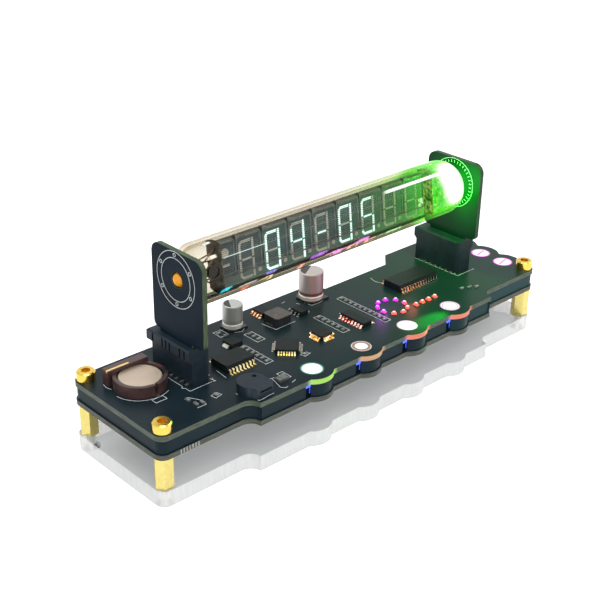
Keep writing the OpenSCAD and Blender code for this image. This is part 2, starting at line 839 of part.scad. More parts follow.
module four_lead_rows(count, pitch, w, reach, h) {
    for (a = [0 : 90 : 270]) rotate([0, 0, a]) lead_row(count, pitch, w / 2, reach, h / 2 + lead_t / 2);
}

module square_body(w, h) {
    cut = w / 12;
    translate([0, 0, chip_stand]) linear_extrude(h - chip_stand) cut_square(w, cut);
}

module boost_chip() {
    color([0.08, 0.08, 0.09]) at_deck(boost_shares) rotate([0, 0, 90])
        chip_body(boost_len, narrow_chip_w, flat_chip_h);
}

module boost_chip_leads() {
    color("orange") at_deck(boost_shares) rotate([0, 0, 90])
        two_lead_rows(4, lead_pitch, narrow_chip_w, fine_lead_reach, flat_chip_h);
}

transistor_len = 4.4;
transistor_w = 3.2;
transistor_pitch = 1.5;

module transistor() {
    color([0.08, 0.08, 0.09]) at_deck(transistor_shares) rotate([0, 0, 90])
        chip_body(transistor_len, transistor_w, flat_chip_h);
}

module transistor_leads() {
    color("silver") at_deck(transistor_shares) rotate([0, 0, 90])
        two_lead_rows(3, transistor_pitch, transistor_w, fine_lead_reach, flat_chip_h);
}

rectifier_len = 4.4;
rectifier_w = 4.2;
rectifier_tab_w = 2.4;

module rectifier() {
    color([0.08, 0.08, 0.09]) at_deck(rectifier_shares) rotate([0, 0, 90])
        chip_body(rectifier_w, rectifier_len, flat_chip_h);
}

// A broad strap at each end, bent down from the middle of the body to the board
module rectifier_tabs() {
    reach = rectifier_len / 2;
    rise = flat_chip_h / 2 + lead_t / 2;
    color("silver") at_deck(rectifier_shares) for (a = [0, 180])
        rotate([90, 0, a]) translate([0, 0, -rectifier_tab_w / 2]) linear_extrude(rectifier_tab_w)
            polygon([[reach, rise], [reach + foot_len / 2, rise], [reach + foot_len, lead_t],
                [reach + foot_len, 0], [reach + foot_len / 4, 0], [reach + foot_len / 4, rise - lead_t],
                [reach, rise - lead_t]]);
}

module clock_chip() {
    color([0.08, 0.08, 0.09]) at_deck(timer_shares) chip_body(timer_len, timer_w, wide_chip_h);
}

module clock_chip_leads() {
    color("gold") at_deck(timer_shares) two_lead_rows(8, lead_pitch, timer_w, lead_reach, wide_chip_h);
}

buzzer_hole_d = 1.4;
buzzer_cut = 1.6;
buzzer_slot_h = 0.6;

// A round sounder with a square nose at the front, a sound hole on top and a slot in the nose
module buzzer() {
    r = buzzer_w / 2;
    front = -r - buzzer_cut / 3;
    color([0.09, 0.1, 0.12]) at_deck(buzzer_shares) difference() {
        linear_extrude(buzzer_h) union() {
            circle(r = r);
            polygon([[-r / 2 - buzzer_cut / 2, front + buzzer_cut], [-r / 2, front],
                [r - buzzer_cut / 2, front], [r, front + buzzer_cut / 2], [r, 0],
                [-r / 2 - buzzer_cut / 2, 0]]);
        }
        translate([r / 2, r / 3, buzzer_h / 3]) cylinder(d = buzzer_hole_d, h = buzzer_h);
        translate([-r / 4, front - over, buzzer_h / 2]) cube([r, over + buzzer_cut / 2, buzzer_slot_h]);
    }
}

module microcontroller() {
    color([0.08, 0.08, 0.09]) at_deck(micro_shares) rotate([0, 0, 45]) square_body(micro_w, flat_chip_h);
}

module microcontroller_leads() {
    color("gold") at_deck(micro_shares) rotate([0, 0, 45])
        four_lead_rows(7, fine_lead_pitch, micro_w, fine_lead_reach, flat_chip_h);
}

module interface_chip() {
    color([0.08, 0.08, 0.09]) at_deck(interface_shares) square_body(square_chip_w, flat_chip_h);
}

module interface_chip_leads() {
    color("orange") at_deck(interface_shares)
        four_lead_rows(5, fine_lead_pitch, square_chip_w, fine_lead_reach, flat_chip_h);
}

module logic_chip() {
    color([0.08, 0.08, 0.09]) at_deck(logic_shares) rotate([0, 0, 90])
        chip_body(logic_len, narrow_chip_w, flat_chip_h);
}

module logic_chip_leads() {
    color("orangered") at_deck(logic_shares) rotate([0, 0, 90])
        two_lead_rows(8, lead_pitch, narrow_chip_w, fine_lead_reach, flat_chip_h);
}

module display_driver() {
    color([0.08, 0.08, 0.09]) at_deck(driver_shares) chip_body(driver_len, driver_w, wide_chip_h);
}

module display_driver_leads() {
    color("silver") at_deck(driver_shares) two_lead_rows(14, lead_pitch, driver_w, lead_reach, wide_chip_h);
}

// A small lamp: a flat base with a round lens
module lamp() {
    translate([-lamp_len / 2, -lamp_w / 2, 0]) cube([lamp_len, lamp_w, lamp_base_h]);
    translate([0, 0, lamp_base_h]) intersection() {
        sphere(r = lamp_lens_r, $fn = 24);
        translate([-lamp_len, -lamp_w, 0]) cube([2 * lamp_len, 2 * lamp_w, lamp_lens_r]);
    }
}

row_from_ring = [6.8, -4.2];

module indicator_leds() {
    color("orchid") at_deck(ring_shares) {
        for (i = [0 : ring_lamps - 1]) rotate([0, 0, -90 + i * 360 / ring_lamps])
            translate([ring_r, 0, 0]) rotate([0, 0, 90]) lamp();
        for (i = [0 : row_lamps - 1]) translate([row_from_ring[0] + i * row_pitch, row_from_ring[1], 0])
            rotate([0, 0, 90]) lamp();
    }
}

module resistor() {
    translate([-resistor_len / 2, -resistor_w / 2, 0]) cube([resistor_cap, resistor_w, resistor_h]);
    translate([resistor_len / 2 - resistor_cap, -resistor_w / 2, 0])
        cube([resistor_cap, resistor_w, resistor_h]);
    translate([-resistor_len / 2 + resistor_cap, -resistor_w / 2, 0])
        cube([resistor_len - 2 * resistor_cap, resistor_w, resistor_h - chip_stand]);
}

module chip_resistors() {
    color("dimgray") {
        for (s = resistor_shares) at_deck(s) resistor();
        for (s = resistor_row_shares, i = [0 : s[2] - 1]) at_deck(s)
            translate([0, i * resistor_pitch, 0]) resistor();
        for (s = bay_resistor_shares) placed()
            translate([left_bay * s[0], screw_span_y * s[1], z_deck]) rotate([0, 0, 90]) resistor();
    }
}

crystal_len = 3.6;
crystal_w = 2.4;
crystal_h = 0.9;

module crystal() {
    color("gray") at_deck(crystal_shares) {
        translate([-crystal_len / 2, -crystal_w / 2, 0])
            cube([crystal_len, crystal_w, crystal_h - chip_stand]);
        translate([-crystal_len / 2 + chip_stand, -crystal_w / 2 + chip_stand, 0])
            cube([crystal_len - 2 * chip_stand, crystal_w - 2 * chip_stand, crystal_h]);
    }
}

// The tube: everything is drawn along +Z from the lead end and then laid along +X
glass_x0 = left_inner + stem_gap;
glass_x1 = right_inner - light_t - disc_clear;
bore_r = tube_d / 2 - glass_t;
plate_h = 2 * (sqrt(pow(bore_r, 2) - pow(plate_front + plate_t, 2)) - plate_gap);
plate_bottom = -plate_h / 2 - plate_low;
plate_top = plate_h / 2 - plate_low;
digit_h = plate_h - digit_margin;
grid_top = plate_top - grid_inset;
grid_bottom = plate_bottom + grid_lift;
mica_half = rail_front + rail_d;
rail_drop = sqrt(pow(bore_r - mica_clear - rail_in, 2) - pow(rail_front, 2));
pin_circle_r = tube_d / 2 - stem_r - pin_in;
first_digit_x = glass_x0 + first_digit_in;
frame_x0 = first_digit_x - mark_left - disc_mark_d - frame_end_gap;
frame_x1 = first_digit_x + (digits - 0.5) * digit_pitch + frame_end_gap;

module at_axis() {
    placed() translate([0, axis_y, axis_z]) children();
}

module leaning() {
    at_axis() rotate([-lean, 0, 0]) children();
}

module glass_section(r, x0, x1) {
    dome = min(dome_r, r - glass_t);
    difference() {
        union() {
            translate([0, x0 + stem_r]) square([r, x1 - x0 - stem_r - dome]);
            translate([0, x0]) square([r - stem_r, stem_r + over]);
            translate([0, x1 - dome - over]) square([r - dome, dome + over]);
            translate([r - stem_r, x0 + stem_r]) circle(r = stem_r);
            translate([r - dome, x1 - dome]) circle(r = dome);
        }
        translate([-tube_d, x0 - over]) square([tube_d, x1 - x0 + 2 * over]);
    }
}

module tube_glass() {
    color([0.85, 0.88, 0.82, 0.3]) at_axis() rotate([0, 90, 0]) rotate_extrude() difference() {
        glass_section(tube_d / 2, glass_x0, glass_x1);
        glass_section(bore_r, glass_x0 + glass_t, glass_x1 - glass_t);
    }
}

module exhaust_tip() {
    r = tip_d / 2;
    tip_x = left_face - tip_out;
    len = glass_x0 - seat_gap - tip_x;
    color("orange") at_axis() rotate([0, 90, 0]) rotate_extrude() intersection() {
        union() {
            translate([0, tip_x + r]) square([r, len]);
            translate([0, tip_x + r]) circle(r = r);
        }
        translate([0, tip_x]) square([r, len]);
    }
}

// A straight wire between two points
module wire(from, to, d) {
    v = to - from;
    translate(from) rotate([0, acos(v[2] / norm(v)), atan2(v[1], v[0])])
        cylinder(d = d, h = norm(v), $fn = 16);
}

module lead_wires() {
    inner_x = glass_x0 + glass_t + seat_gap;
    color("darkgoldenrod") {
        leaning() for (i = [0 : stem_wires - 1]) {
            side = 2 * i / (stem_wires - 1) - 1;
            wire([inner_x, stem_wire_r * cos(i * 137), stem_wire_r * sin(i * 137)],
                [frame_x0 - seat_gap, plate_front - plate_t * (i % 2), side * plate_h * wire_fan],
                stem_wire_d);
        }
        at_axis() for (i = [0 : pin_wires - 1]) rotate([i * 360 / pin_wires, 0, 0])
            wire([left_inner, 0, pin_circle_r], [glass_x0 - seat_gap, 0, pin_circle_r], stem_wire_d);
    }
}

// Mica end discs, trimmed flat in front and behind, with two long rails
module support_frame() {
    color([0.75, 0.72, 0.62]) leaning() {
        for (x = [frame_x0, frame_x1]) translate([x, 0, 0]) rotate([0, 90, 0]) linear_extrude(mica_t)
            intersection() {
                circle(r = bore_r - mica_clear);
                translate([-tube_d / 2, -mica_half]) square([tube_d, 2 * mica_half]);
            }
        for (y = [-rail_front, rail_front])
            wire([frame_x0 + mica_t, y, -rail_drop], [frame_x1, y, -rail_drop], rail_d);
    }
}

module anode_plate() {
    color([0.12, 0.18, 0.17]) leaning()
        translate([frame_x0 + mica_t, plate_front, plate_bottom])
            cube([frame_x1 - frame_x0 - mica_t, plate_t, plate_h]);
}

// The seven bars of a digit, by letter, with their left corners cut
module bar(letter) {
    w = digit_w / 2;
    h = digit_h / 2;
    b = bar_w / 2;
    if (letter == "a") corner_bar(1);
    if (letter == "d") corner_bar(-1);
    if (letter == "b") translate([w - b, bar_gap / 2]) square([bar_w, h - bar_gap / 2 + b]);
    if (letter == "c") translate([w - b, -h - b]) square([bar_w, h + b - bar_gap / 2]);
    if (letter == "f") translate([-w - b, bar_gap / 2]) square([bar_w, h - bar_cut - bar_gap]);
    if (letter == "e") translate([-w - b, -h + bar_cut + bar_gap / 2]) square([bar_w, h - bar_cut - bar_gap]);
    if (letter == "g") translate([-w + b + bar_gap, -b]) square([digit_w - bar_w - 2 * bar_gap, bar_w]);
}

module corner_bar(up) {
    w = digit_w / 2;
    h = digit_h / 2;
    b = bar_w / 2;
    polygon([for (p = [[-w - b, h - bar_cut], [-w - b, h - bar_cut / 2], [-w + bar_cut / 2, h + b],
        [w - b - bar_gap, h + b], [w - b - bar_gap, h - b], [-w + bar_cut - b, h - b], [-w + b, h - bar_cut]])
        [p[0], up * p[1]]]);
}

// What each digit shows: an idle place, the hour, a dash, the minutes and two idle places
shown = ["", "abcdef", "bcfg", "g", "abcdef", "acdfg", "", ""];

module at_digit(i) {
    leaning() translate([first_digit_x + i * digit_pitch, plate_front, -digit_drop]) rotate([90, 0, 0])
        linear_extrude(bar_t) children();
}

module segments(lit) {
    for (i = [0 : digits - 1], letter = "abcdefg")
        if ((len(search(letter, shown[i])) > 0) == lit) at_digit(i) bar(letter);
}

module lit_segments() {
    color("aquamarine") segments(true);
}

module dark_segments() {
    color([0.6, 0.62, 0.55]) {
        segments(false);
        for (i = [0 : digits - 1]) at_digit(i)
            translate([dot_right, -digit_h / 2 + dot_lift]) circle(d = dot_d, $fn = 24);
        at_digit(0) translate([-mark_left, disc_mark_up + digit_drop]) circle(d = disc_mark_d);
        at_digit(0) translate([-mark_left - dash_len / 2, dash_up + digit_drop - bar_w / 2])
            square([dash_len, bar_w]);
    }
}

// One control grid: a frame of thin bars with stretched wires, carried on the plate by its top rail and feet
module control_grid(w) {
    h = grid_top - grid_bottom;
    step = (h - grid_frame) / (grid_wires + 1);
    y = -grid_front;
    translate([0, y, grid_bottom]) {
        cube([grid_frame, grid_t, h]);
        translate([w - grid_frame, 0, 0]) cube([grid_frame, grid_t, h]);
        cube([w, grid_t, grid_frame]);
        for (i = [1 : grid_wires]) translate([0, 0, i * step]) cube([w, wire_t, wire_t]);
    }
    translate([0, y, grid_top - grid_rail_h]) cube([w, plate_front + grid_front, grid_rail_h]);
    translate([0, y, grid_top]) cube([grid_tab_w, plate_front + grid_front, grid_tab_h]);
    for (x = [0, w - grid_frame]) translate([x, y, grid_bottom])
        cube([grid_frame, plate_front + grid_front, grid_frame]);
}

module control_grids() {
    w = digit_pitch - grid_gap;
    x0 = first_digit_x - digit_pitch / 2 + grid_gap / 2;
    color([0.35, 0.4, 0.38]) leaning() {
        for (i = [0 : digits - 1]) translate([x0 + i * digit_pitch, 0, 0]) control_grid(w);
        translate([frame_x0 + mica_t + grid_gap, 0, 0]) control_grid(x0 - frame_x0 - mica_t - 2 * grid_gap);
    }
}

module filaments() {
    color("lightyellow") leaning() for (z = [-filament_up, filament_up])
        wire([frame_x0 + mica_t, -filament_front, z], [frame_x1, -filament_front, z], filament_d);
}

module end_light() {
    color("lime") placed() translate([right_inner - light_t, axis_y - light_w / 2, axis_z - light_w / 2])
        cube([light_t, light_w, light_w]);
}

// A round getter pan that faces the front, carried on a strap from the left mica disc
module getter() {
    reach = getter_d / 2 + frame_end_gap / 2;
    color([0.1, 0.1, 0.1]) leaning() translate([frame_x0 - reach, -getter_front, 0]) {
        rotate([90, 0, 0]) difference() {
            cylinder(d = getter_d, h = getter_t, center = true);
            cylinder(d = getter_d - 2 * getter_strap, h = getter_t);
        }
        translate([0, getter_t / 2, -getter_strap / 2]) cube([reach - seat_gap, getter_strap, getter_strap]);
    }
}

acrylic_base();
base_screws();
standoffs();
bottom_board();
edge_contacts();
spacer_plate();
pad_leds();
edge_leds();
power_inlet();
top_board();
pad_windows();
top_screws();
left_socket();
left_socket_feet();
right_socket();
right_socket_feet();
cell_holder();
cell_hook();
cell_contact();
cell_spring();
coin_cell();
small_capacitor_base();
small_capacitor_can();
large_capacitor_base();
large_capacitor_can();
power_inductor();
boost_chip();
boost_chip_leads();
transistor();
transistor_leads();
rectifier();
rectifier_tabs();
clock_chip();
clock_chip_leads();
buzzer();
microcontroller();
microcontroller_leads();
interface_chip();
interface_chip_leads();
logic_chip();
logic_chip_leads();
display_driver();
display_driver_leads();
indicator_leds();
chip_resistors();
crystal();
left_post();
right_post();
tube_glass();
exhaust_tip();
lead_wires();
support_frame();
anode_plate();
lit_segments();
dark_segments();
control_grids();
filaments();
end_light();
getter();
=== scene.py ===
# %% [markdown]
# # A digital clock with an open vacuum display tube
# The clock is a stack of two circuit boards on a clear acrylic foot, with a glass display tube
# held between two upright boards. Its solid pieces were modelled first and come in as a fixed
# frame. This lesson gives each piece its finish and adds the thin printed and lit details.

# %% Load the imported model
import math

import bmesh
import bpy
from mathutils import Matrix, Vector


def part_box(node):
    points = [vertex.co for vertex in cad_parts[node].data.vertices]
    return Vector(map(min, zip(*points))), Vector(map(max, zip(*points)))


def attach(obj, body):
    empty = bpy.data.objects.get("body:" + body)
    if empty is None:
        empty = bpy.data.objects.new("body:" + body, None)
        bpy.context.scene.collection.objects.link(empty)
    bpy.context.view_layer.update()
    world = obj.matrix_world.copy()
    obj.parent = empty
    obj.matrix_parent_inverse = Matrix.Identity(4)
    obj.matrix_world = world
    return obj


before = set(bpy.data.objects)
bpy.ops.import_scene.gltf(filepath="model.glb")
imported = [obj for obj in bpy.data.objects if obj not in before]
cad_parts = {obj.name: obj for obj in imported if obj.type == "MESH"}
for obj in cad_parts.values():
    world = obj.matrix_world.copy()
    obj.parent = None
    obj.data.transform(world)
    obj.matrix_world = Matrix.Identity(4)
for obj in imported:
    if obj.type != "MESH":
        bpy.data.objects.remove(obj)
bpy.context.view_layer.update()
print("pieces in the frame:", len(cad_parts))

# %% [markdown]
# ## Where things are
# Every measured place on the boards counts from the front left screw, in millimetres, with the
# bench at height zero. One helper turns such a place into the metres that Blender works in. The
# screw is found from the frame, so the added details stay on the boards if the model moves.

# %% Places in millimetres
MM = 0.001
X, Y, Z = Vector((1, 0, 0)), Vector((0, 1, 0)), Vector((0, 0, 1))
SCREW_HEAD = 5.5
screw_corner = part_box("top_screws")[0]
screw_axis = Vector((screw_corner.x + SCREW_HEAD / 2 * MM, screw_corner.y + SCREW_HEAD / 2 * MM, 0))
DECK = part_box("top_board")[1].z / MM


def at(x, y, z=DECK):
    return screw_axis + Vector((x, y, z)) * MM


print("front left screw:", tuple(round(v, 5) for v in screw_axis), "deck height:", round(DECK, 2))

# %% [markdown]
# ## The camera
# The clock is seen from the front left and a little above, through a long lens. A camera can be
# aimed with a tracking constraint, but that keeps it level. Here its three axes are worked out
# from its turn, its tilt and a slight roll, and fill a matrix, which gives the exact frame.

# %% Camera
TURN, TILT, ROLL = (math.radians(v) for v in (-43.5137, 26.5305, 1.1075))
CAMERA_PLACE = (-0.233165, -0.229663, 0.192658)
LENS, SENSOR = 70.71, 36
back = Vector((math.sin(TURN) * math.cos(TILT), -math.cos(TURN) * math.cos(TILT), math.sin(TILT)))
right = Vector((math.cos(TURN), math.sin(TURN), 0))
up = back.cross(right)
rolled_right = math.cos(ROLL) * right + math.sin(ROLL) * up
rolled_up = math.cos(ROLL) * up - math.sin(ROLL) * right
camera = bpy.data.objects.new("camera", bpy.data.cameras.new("camera"))
camera.matrix_world = Matrix.Translation(CAMERA_PLACE) @ Matrix(
    (rolled_right, rolled_up, back)).transposed().to_4x4()
camera.data.lens = LENS
camera.data.sensor_width = SENSOR
camera.data.clip_start = 0.01
bpy.context.scene.collection.objects.link(camera)
bpy.context.scene.camera = camera
bpy.context.scene.view_settings.view_transform = "Standard"
print("camera stands", round(camera.location.length, 3), "m from the clock")

# %% [markdown]
# ## Nodes that every finish shares
# A material is a small network of nodes. It could be wired by hand in the shader editor, but the
# clock has dozens of finishes that use the same few nodes again and again. So each of those
# nodes gets a helper, which adds it, wires it up and returns the socket with its result.

# %% Helpers that add one node
BLACK, WHITE = (0.0, 0.0, 0.0), (1.0, 1.0, 1.0)


def link(owner, from_socket, to_socket):
    owner.node_tree.links.new(from_socket, to_socket)


def add_node(owner, kind, **sockets):
    node = owner.node_tree.nodes.new("ShaderNode" + kind)
    for name, value in sockets.items():
        node.inputs[name.replace("_", " ")].default_value = value
    return node


def feed(owner, socket, value):
    """Set a socket to a number or a colour, or link another socket to it."""
    if isinstance(value, tuple):
        socket.default_value = (*value, 1)
    elif isinstance(value, (int, float)):
        socket.default_value = value
    elif value is not None:
        link(owner, value, socket)


print("link helpers ready")

# %% Helpers for numbers
def math_node(owner, operation, first, second=None):
    node = add_node(owner, "Math")
    node.operation = operation
    feed(owner, node.inputs[0], first)
    feed(owner, node.inputs[1], second)
    return node.outputs[0]


def map_range(owner, value, low, high, start=0.0, end=1.0):
    """Start where the value is low, end where it is high, and even steps between them."""
    node = add_node(owner, "MapRange", From_Min=low, From_Max=high, To_Min=start, To_Max=end)
    link(owner, value, node.inputs[0])
    return node.outputs[0]


print("number helpers ready")

# %% Helpers for colour
FACTOR, FIRST, SECOND, COLOUR_OUT = 0, 6, 7, 2


def ramp_node(owner, factor, stops):
    node = add_node(owner, "ValToRGB")
    while len(node.color_ramp.elements) < len(stops):
        node.color_ramp.elements.new(1)
    for element, (place, colour) in zip(node.color_ramp.elements, stops):
        element.position = place
        element.color = (*colour, 1)
    link(owner, factor, node.inputs[0])
    return node.outputs[0]


def mix_colours(owner, factor, first, second, way="MIX"):
    node = add_node(owner, "Mix")
    node.data_type = "RGBA"
    node.blend_type = way
    for place, value in ((FACTOR, factor), (FIRST, first), (SECOND, second)):
        feed(owner, node.inputs[place], value)
    return node.outputs[COLOUR_OUT]


def blend_shaders(owner, share, first, second, end):
    """Mix two shaders by a share and join them to the surface socket of the last node."""
    blend = add_node(owner, "MixShader")
    for socket, value in zip(blend.inputs, (share, first, second)):
        link(owner, value, socket)
    link(owner, blend.outputs[0], owner.node_tree.nodes[end].inputs["Surface"])


print("colour helpers ready")

# %% [markdown]
# ## Finishes that know where they are
# A picture can be wrapped round a piece, but the piece has to be unwrapped for it, and it shows
# seams. The finishes here ask each point for its place and for the way it faces instead. That
# lets one finish change along the clock, or between a face and a cut edge.

# %% Helpers that ask for a place
def point_of(material, kind="Object"):
    return add_node(material, "TexCoord").outputs[kind]


def axes_of(material, kind="Object"):
    """The x, y and z of each point, or of the way that it faces."""
    axes = add_node(material, "SeparateXYZ")
    link(material, point_of(material, kind), axes.inputs[0])
    return axes.outputs


def vector_node(material, operation, other=None):
    """A number from the place of each point, such as its distance from another place."""
    node = add_node(material, "VectorMath")
    node.operation = operation
    link(material, point_of(material), node.inputs[0])
    if other is not None:
        node.inputs[1].default_value = other
    return node.outputs["Value"]


print("point helpers ready")

# %% Helpers for a change along the clock, cut edges and grain
def along_clock(material, start, end, most=1.0):
    """Nothing at the first place along the clock, in millimetres, and the most at the second."""
    return map_range(material, axes_of(material)[0], at(start, 0).x, at(end, 0).x, 0.0, most)


def flat_side(material, axis):
    """One where a surface lies along the axis, as the cut edge of a sheet does."""
    lean = math_node(material, "ABSOLUTE", axes_of(material, "Normal")[axis])
    return math_node(material, "LESS_THAN", lean, 0.5)


def noise_node(material, grain, detail, stretch=None):
    noise = add_node(material, "TexNoise", Scale=grain, Detail=detail)
    place = point_of(material)
    if stretch:
        drawn_out = add_node(material, "Mapping", Scale=stretch)
        link(material, place, drawn_out.inputs["Vector"])
        place = drawn_out.outputs[0]
    link(material, place, noise.inputs["Vector"])
    return noise.outputs[0]


print("edge and grain helpers ready")

# %% [markdown]
# ## One recipe for a surface
# A real surface is never one flat colour: it has faint mottling, a changing gloss and tiny bumps.
# Each could be tuned by itself, but one helper makes them alike for every finish. A noise picks
# between a darker and a lighter shade, sets the roughness a little up and down, and drives a
# bump. Three more helpers repaint a finish, light it up and put it on a piece.

# %% The recipe
GLOSS_SPREAD = 0.06
DENT_DEPTH = 0.0002


def new_material(name, shown):
    material = bpy.data.materials.new(name)
    material.use_nodes = True
    material.diffuse_color = shown
    return material


def shader_of(material):
    return material.node_tree.nodes["Principled BSDF"]


def finish(name, colour, rough=0.4, metal=0.0, vary=0.12, grain=500, bump=0.05, **sockets):
    material = new_material(name, (*colour, 1))
    shader = shader_of(material)
    shader.inputs["Metallic"].default_value = metal
    for socket, value in sockets.items():
        shader.inputs[socket.replace("_", " ")].default_value = value
    noise = noise_node(material, grain, 4)
    darker = tuple(max(0, c * (1 - vary)) for c in colour)
    lighter = tuple(min(1, c * (1 + vary)) for c in colour)
    shade = ramp_node(material, noise, ((0.3, darker), (0.7, lighter)))
    link(material, shade, shader.inputs["Base Color"])
    glossier, duller = max(0.02, rough - GLOSS_SPREAD), min(1, rough + GLOSS_SPREAD)
    gloss = map_range(material, noise, 0, 1, glossier, duller)
    link(material, gloss, shader.inputs["Roughness"])
    dents = add_node(material, "Bump", Strength=bump, Distance=DENT_DEPTH)
    link(material, noise, dents.inputs["Height"])
    link(material, dents.outputs[0], shader.inputs["Normal"])
    return material


print("surface recipe ready")

# %% Changes to a finish
def paint_over(material, share, colour, way="MIX"):
    """Lay another colour over the present one, as strongly as the share says."""
    base = shader_of(material).inputs["Base Color"]
    link(material, mix_colours(material, share, base.links[0].from_socket, colour, way), base)


def light_up(material, colour, strength):
    """Give a surface a light of its own."""
    shader = shader_of(material)
    feed(material, shader.inputs["Emission Color"], colour)
    feed(material, shader.inputs["Emission Strength"], strength)


def dress(material, *nodes):
    for name in nodes:
        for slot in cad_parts[name].material_slots:
            slot.material = material


print("finish helpers ready")

# %% [markdown]
# ## Floor and studio light
# Product photographs stand on white card under large soft lamps. The floor here is a pale diffuse
# card that keeps the shadow, with a little light of its own for the camera, and more of it far
# out, so that it reaches white where nothing shades it and has no grey horizon. Wide area lamps
# give soft edges, and a dim world fills the shade.

# %% Floor
FLOOR_SIZE = 6
CARD_NEAR, CARD_FAR = 0.4, 1.2
CARD_LIGHT_NEAR, CARD_LIGHT_FAR = 0.42, 1.0


def seen_rays(owner):
    """One for rays that the viewer sees: straight, in a mirror or through glass."""
    path = add_node(owner, "LightPath")
    seen = math_node(owner, "MAXIMUM", path.outputs["Is Camera Ray"], path.outputs["Is Glossy Ray"])
    return math_node(owner, "MAXIMUM", seen, path.outputs["Is Transmission Ray"])


def white_card():
    material = finish("white_card", (0.86, 0.86, 0.86), rough=0.9, vary=0.01, grain=40, bump=0,
                      Specular_IOR_Level=0)
    fading = map_range(material, vector_node(material, "LENGTH"), CARD_NEAR, CARD_FAR,
                       CARD_LIGHT_NEAR, CARD_LIGHT_FAR)
    light_up(material, WHITE, math_node(material, "MULTIPLY", seen_rays(material), fading))
    return material


bpy.ops.mesh.primitive_grid_add(x_subdivisions=4, y_subdivisions=4, size=FLOOR_SIZE,
                                location=(0, 0, -0.0001))
floor = bpy.context.object
floor.name = "floor"
floor.data.materials.append(white_card())
print("floor is", floor.dimensions.x, "m wide")

# %% Studio lamps
def new_lamp(name, kind, place, power, colour=WHITE, aim=None):
    lamp = bpy.data.objects.new(name, bpy.data.lights.new(name, kind))
    lamp.data.energy = power
    lamp.data.color = colour
    lamp.location = place
    if aim is not None:
        lamp.rotation_euler = (aim - lamp.location).to_track_quat("-Z", "Y").to_euler()
    bpy.context.scene.collection.objects.link(lamp)
    return lamp


SOFTBOXES = [("key_lamp", (-0.35, -0.55, 0.75), 0.7, 5.5), ("fill_lamp", (0.75, -0.25, 0.5), 0.6, 2.2),
             ("top_lamp", (0.0, 0.35, 0.9), 0.9, 5)]
for name, place, size, power in SOFTBOXES:
    new_lamp(name, "AREA", place, power, aim=Vector((0, 0, 0))).data.size = size
print("studio lamps:", len(SOFTBOXES))

# %% World
world = bpy.data.worlds.new("studio")
world.use_nodes = True
bpy.context.scene.world = world
ambient = world.node_tree.nodes["Background"]
ambient.inputs["Color"].default_value = (0.97, 0.98, 1, 1)
ambient.inputs["Strength"].default_value = 0.42
paper = add_node(world, "Background", Color=(1, 1, 1, 1))
blend_shaders(world, seen_rays(world), ambient.outputs[0], paper.outputs[0], "World Output")
print("world fills the shade with", round(ambient.inputs["Strength"].default_value, 2))

# %% [markdown]
# ## Circuit boards
# A circuit board is glass-fibre sheet with a dark solder mask on both faces. The mask is glossy
# and the cut edge shows the pale fibre. Two materials on one mesh could do it, but a material
# that asks which way the surface faces serves the whole board at once. Lamps under the touch
# pads shine out through the cut edge, as light that fades with the distance from each pad.

# %% Pad places and their colours
PADS = [(52.3, -2.3), (72.7, -2.3), (93.1, -2.3), (113.5, -2.3)]
PAD_EDGE_LIGHT = [(0.35, 0.72, 0.06), (0.62, 0.3, 0.14), (0.85, 0.16, 0.09), (0.85, 0.17, 0.1)]
END_PADS = [(153.6, 7.95), (153.6, 17.75), (153.6, 27.55)]
EDGE_LIGHT_FULL, EDGE_LIGHT_GONE, EDGE_LIGHT = 6.4 * MM, 7.6 * MM, 0.9
print("touch pads:", len(PADS) + len(END_PADS))

# %% Board material
FIBRE_GRAIN = 1400
PAINTED_LIGHT_FROM, PAINTED_LIGHT_TO = 40, 135


def board_finish(name, axis, mask, fibre, shine=0.1, painted_far_light=None):
    """Axis is the way across the board's thickness. The painted far light, the tube lamp's green light, comes
    in along the clock.
    """
    material = finish(name, mask, rough=0.3, vary=0.18, grain=90, bump=0.01, Specular_IOR_Level=shine)
    if painted_far_light:
        paint_over(material, along_clock(material, PAINTED_LIGHT_FROM, PAINTED_LIGHT_TO), painted_far_light)
    strands = noise_node(material, FIBRE_GRAIN, 3, (0.2, 0.2, 3) if axis == 2 else (3, 0.2, 0.2))
    dark, pale = (tuple(min(1, c * k) for c in fibre) for k in (0.6, 1.3))
    weave = ramp_node(material, strands, ((0.35, dark), (0.65, pale)))
    paint_over(material, flat_side(material, axis), weave)
    return material


def light_cut_edge(material):
    glow = BLACK
    for (x, y), colour in zip(PADS, PAD_EDGE_LIGHT):
        gap = vector_node(material, "DISTANCE", at(x, y, DECK - 1))
        near = map_range(material, gap, EDGE_LIGHT_GONE, EDGE_LIGHT_FULL)
        glow = mix_colours(material, near, glow, colour)
    light_up(material, mix_colours(material, flat_side(material, 2), BLACK, glow), EDGE_LIGHT)
    return material


print("board helpers ready")

# %% Dress the boards
MASK = (0.008, 0.017, 0.023)
# The top mask gets painted green light from the tube's lamp towards its right end.
top_mask = board_finish("top_board_mask", 2, MASK, (0.1, 0.12, 0.09), painted_far_light=(0.008, 0.034, 0.024))
dress(light_cut_edge(top_mask), "top_board")
dress(board_finish("bottom_board_mask", 2, MASK, (0.1, 0.105, 0.085)), "bottom_board")
dress(board_finish("left_post_mask", 0, (0.010, 0.019, 0.030), (0.08, 0.11, 0.065), 0.03), "left_post")
# The right post's greener mask and fibre are painted green light from the tube's end lamp.
dress(board_finish("right_post_green_lit_mask", 0, (0.004, 0.03, 0.016), (0.03, 0.07, 0.03)), "right_post")
spacer = finish("dark_spacer", (0.007, 0.018, 0.025), rough=0.42, vary=0.15, grain=160, bump=0.02,
                Specular_IOR_Level=0.1)
# Painted teal light from the tube's lamp, growing towards the right end of the spacer.
paint_over(spacer, along_clock(spacer, 95, 140), (0.014, 0.05, 0.055))
dress(spacer, "spacer_plate")
print("boards dressed")

# %% [markdown]
# ## Clear acrylic foot
# The foot is a thick sheet of cast acrylic with sawn edges. Its faces are clear and the edges are
# frosted by the saw, so they catch the light and look white. True refraction would need many more
# samples here, so the faces mix see-through with gloss, and the edges add a milky scatter with a
# little light of their own, because light that runs inside the sheet comes out there.

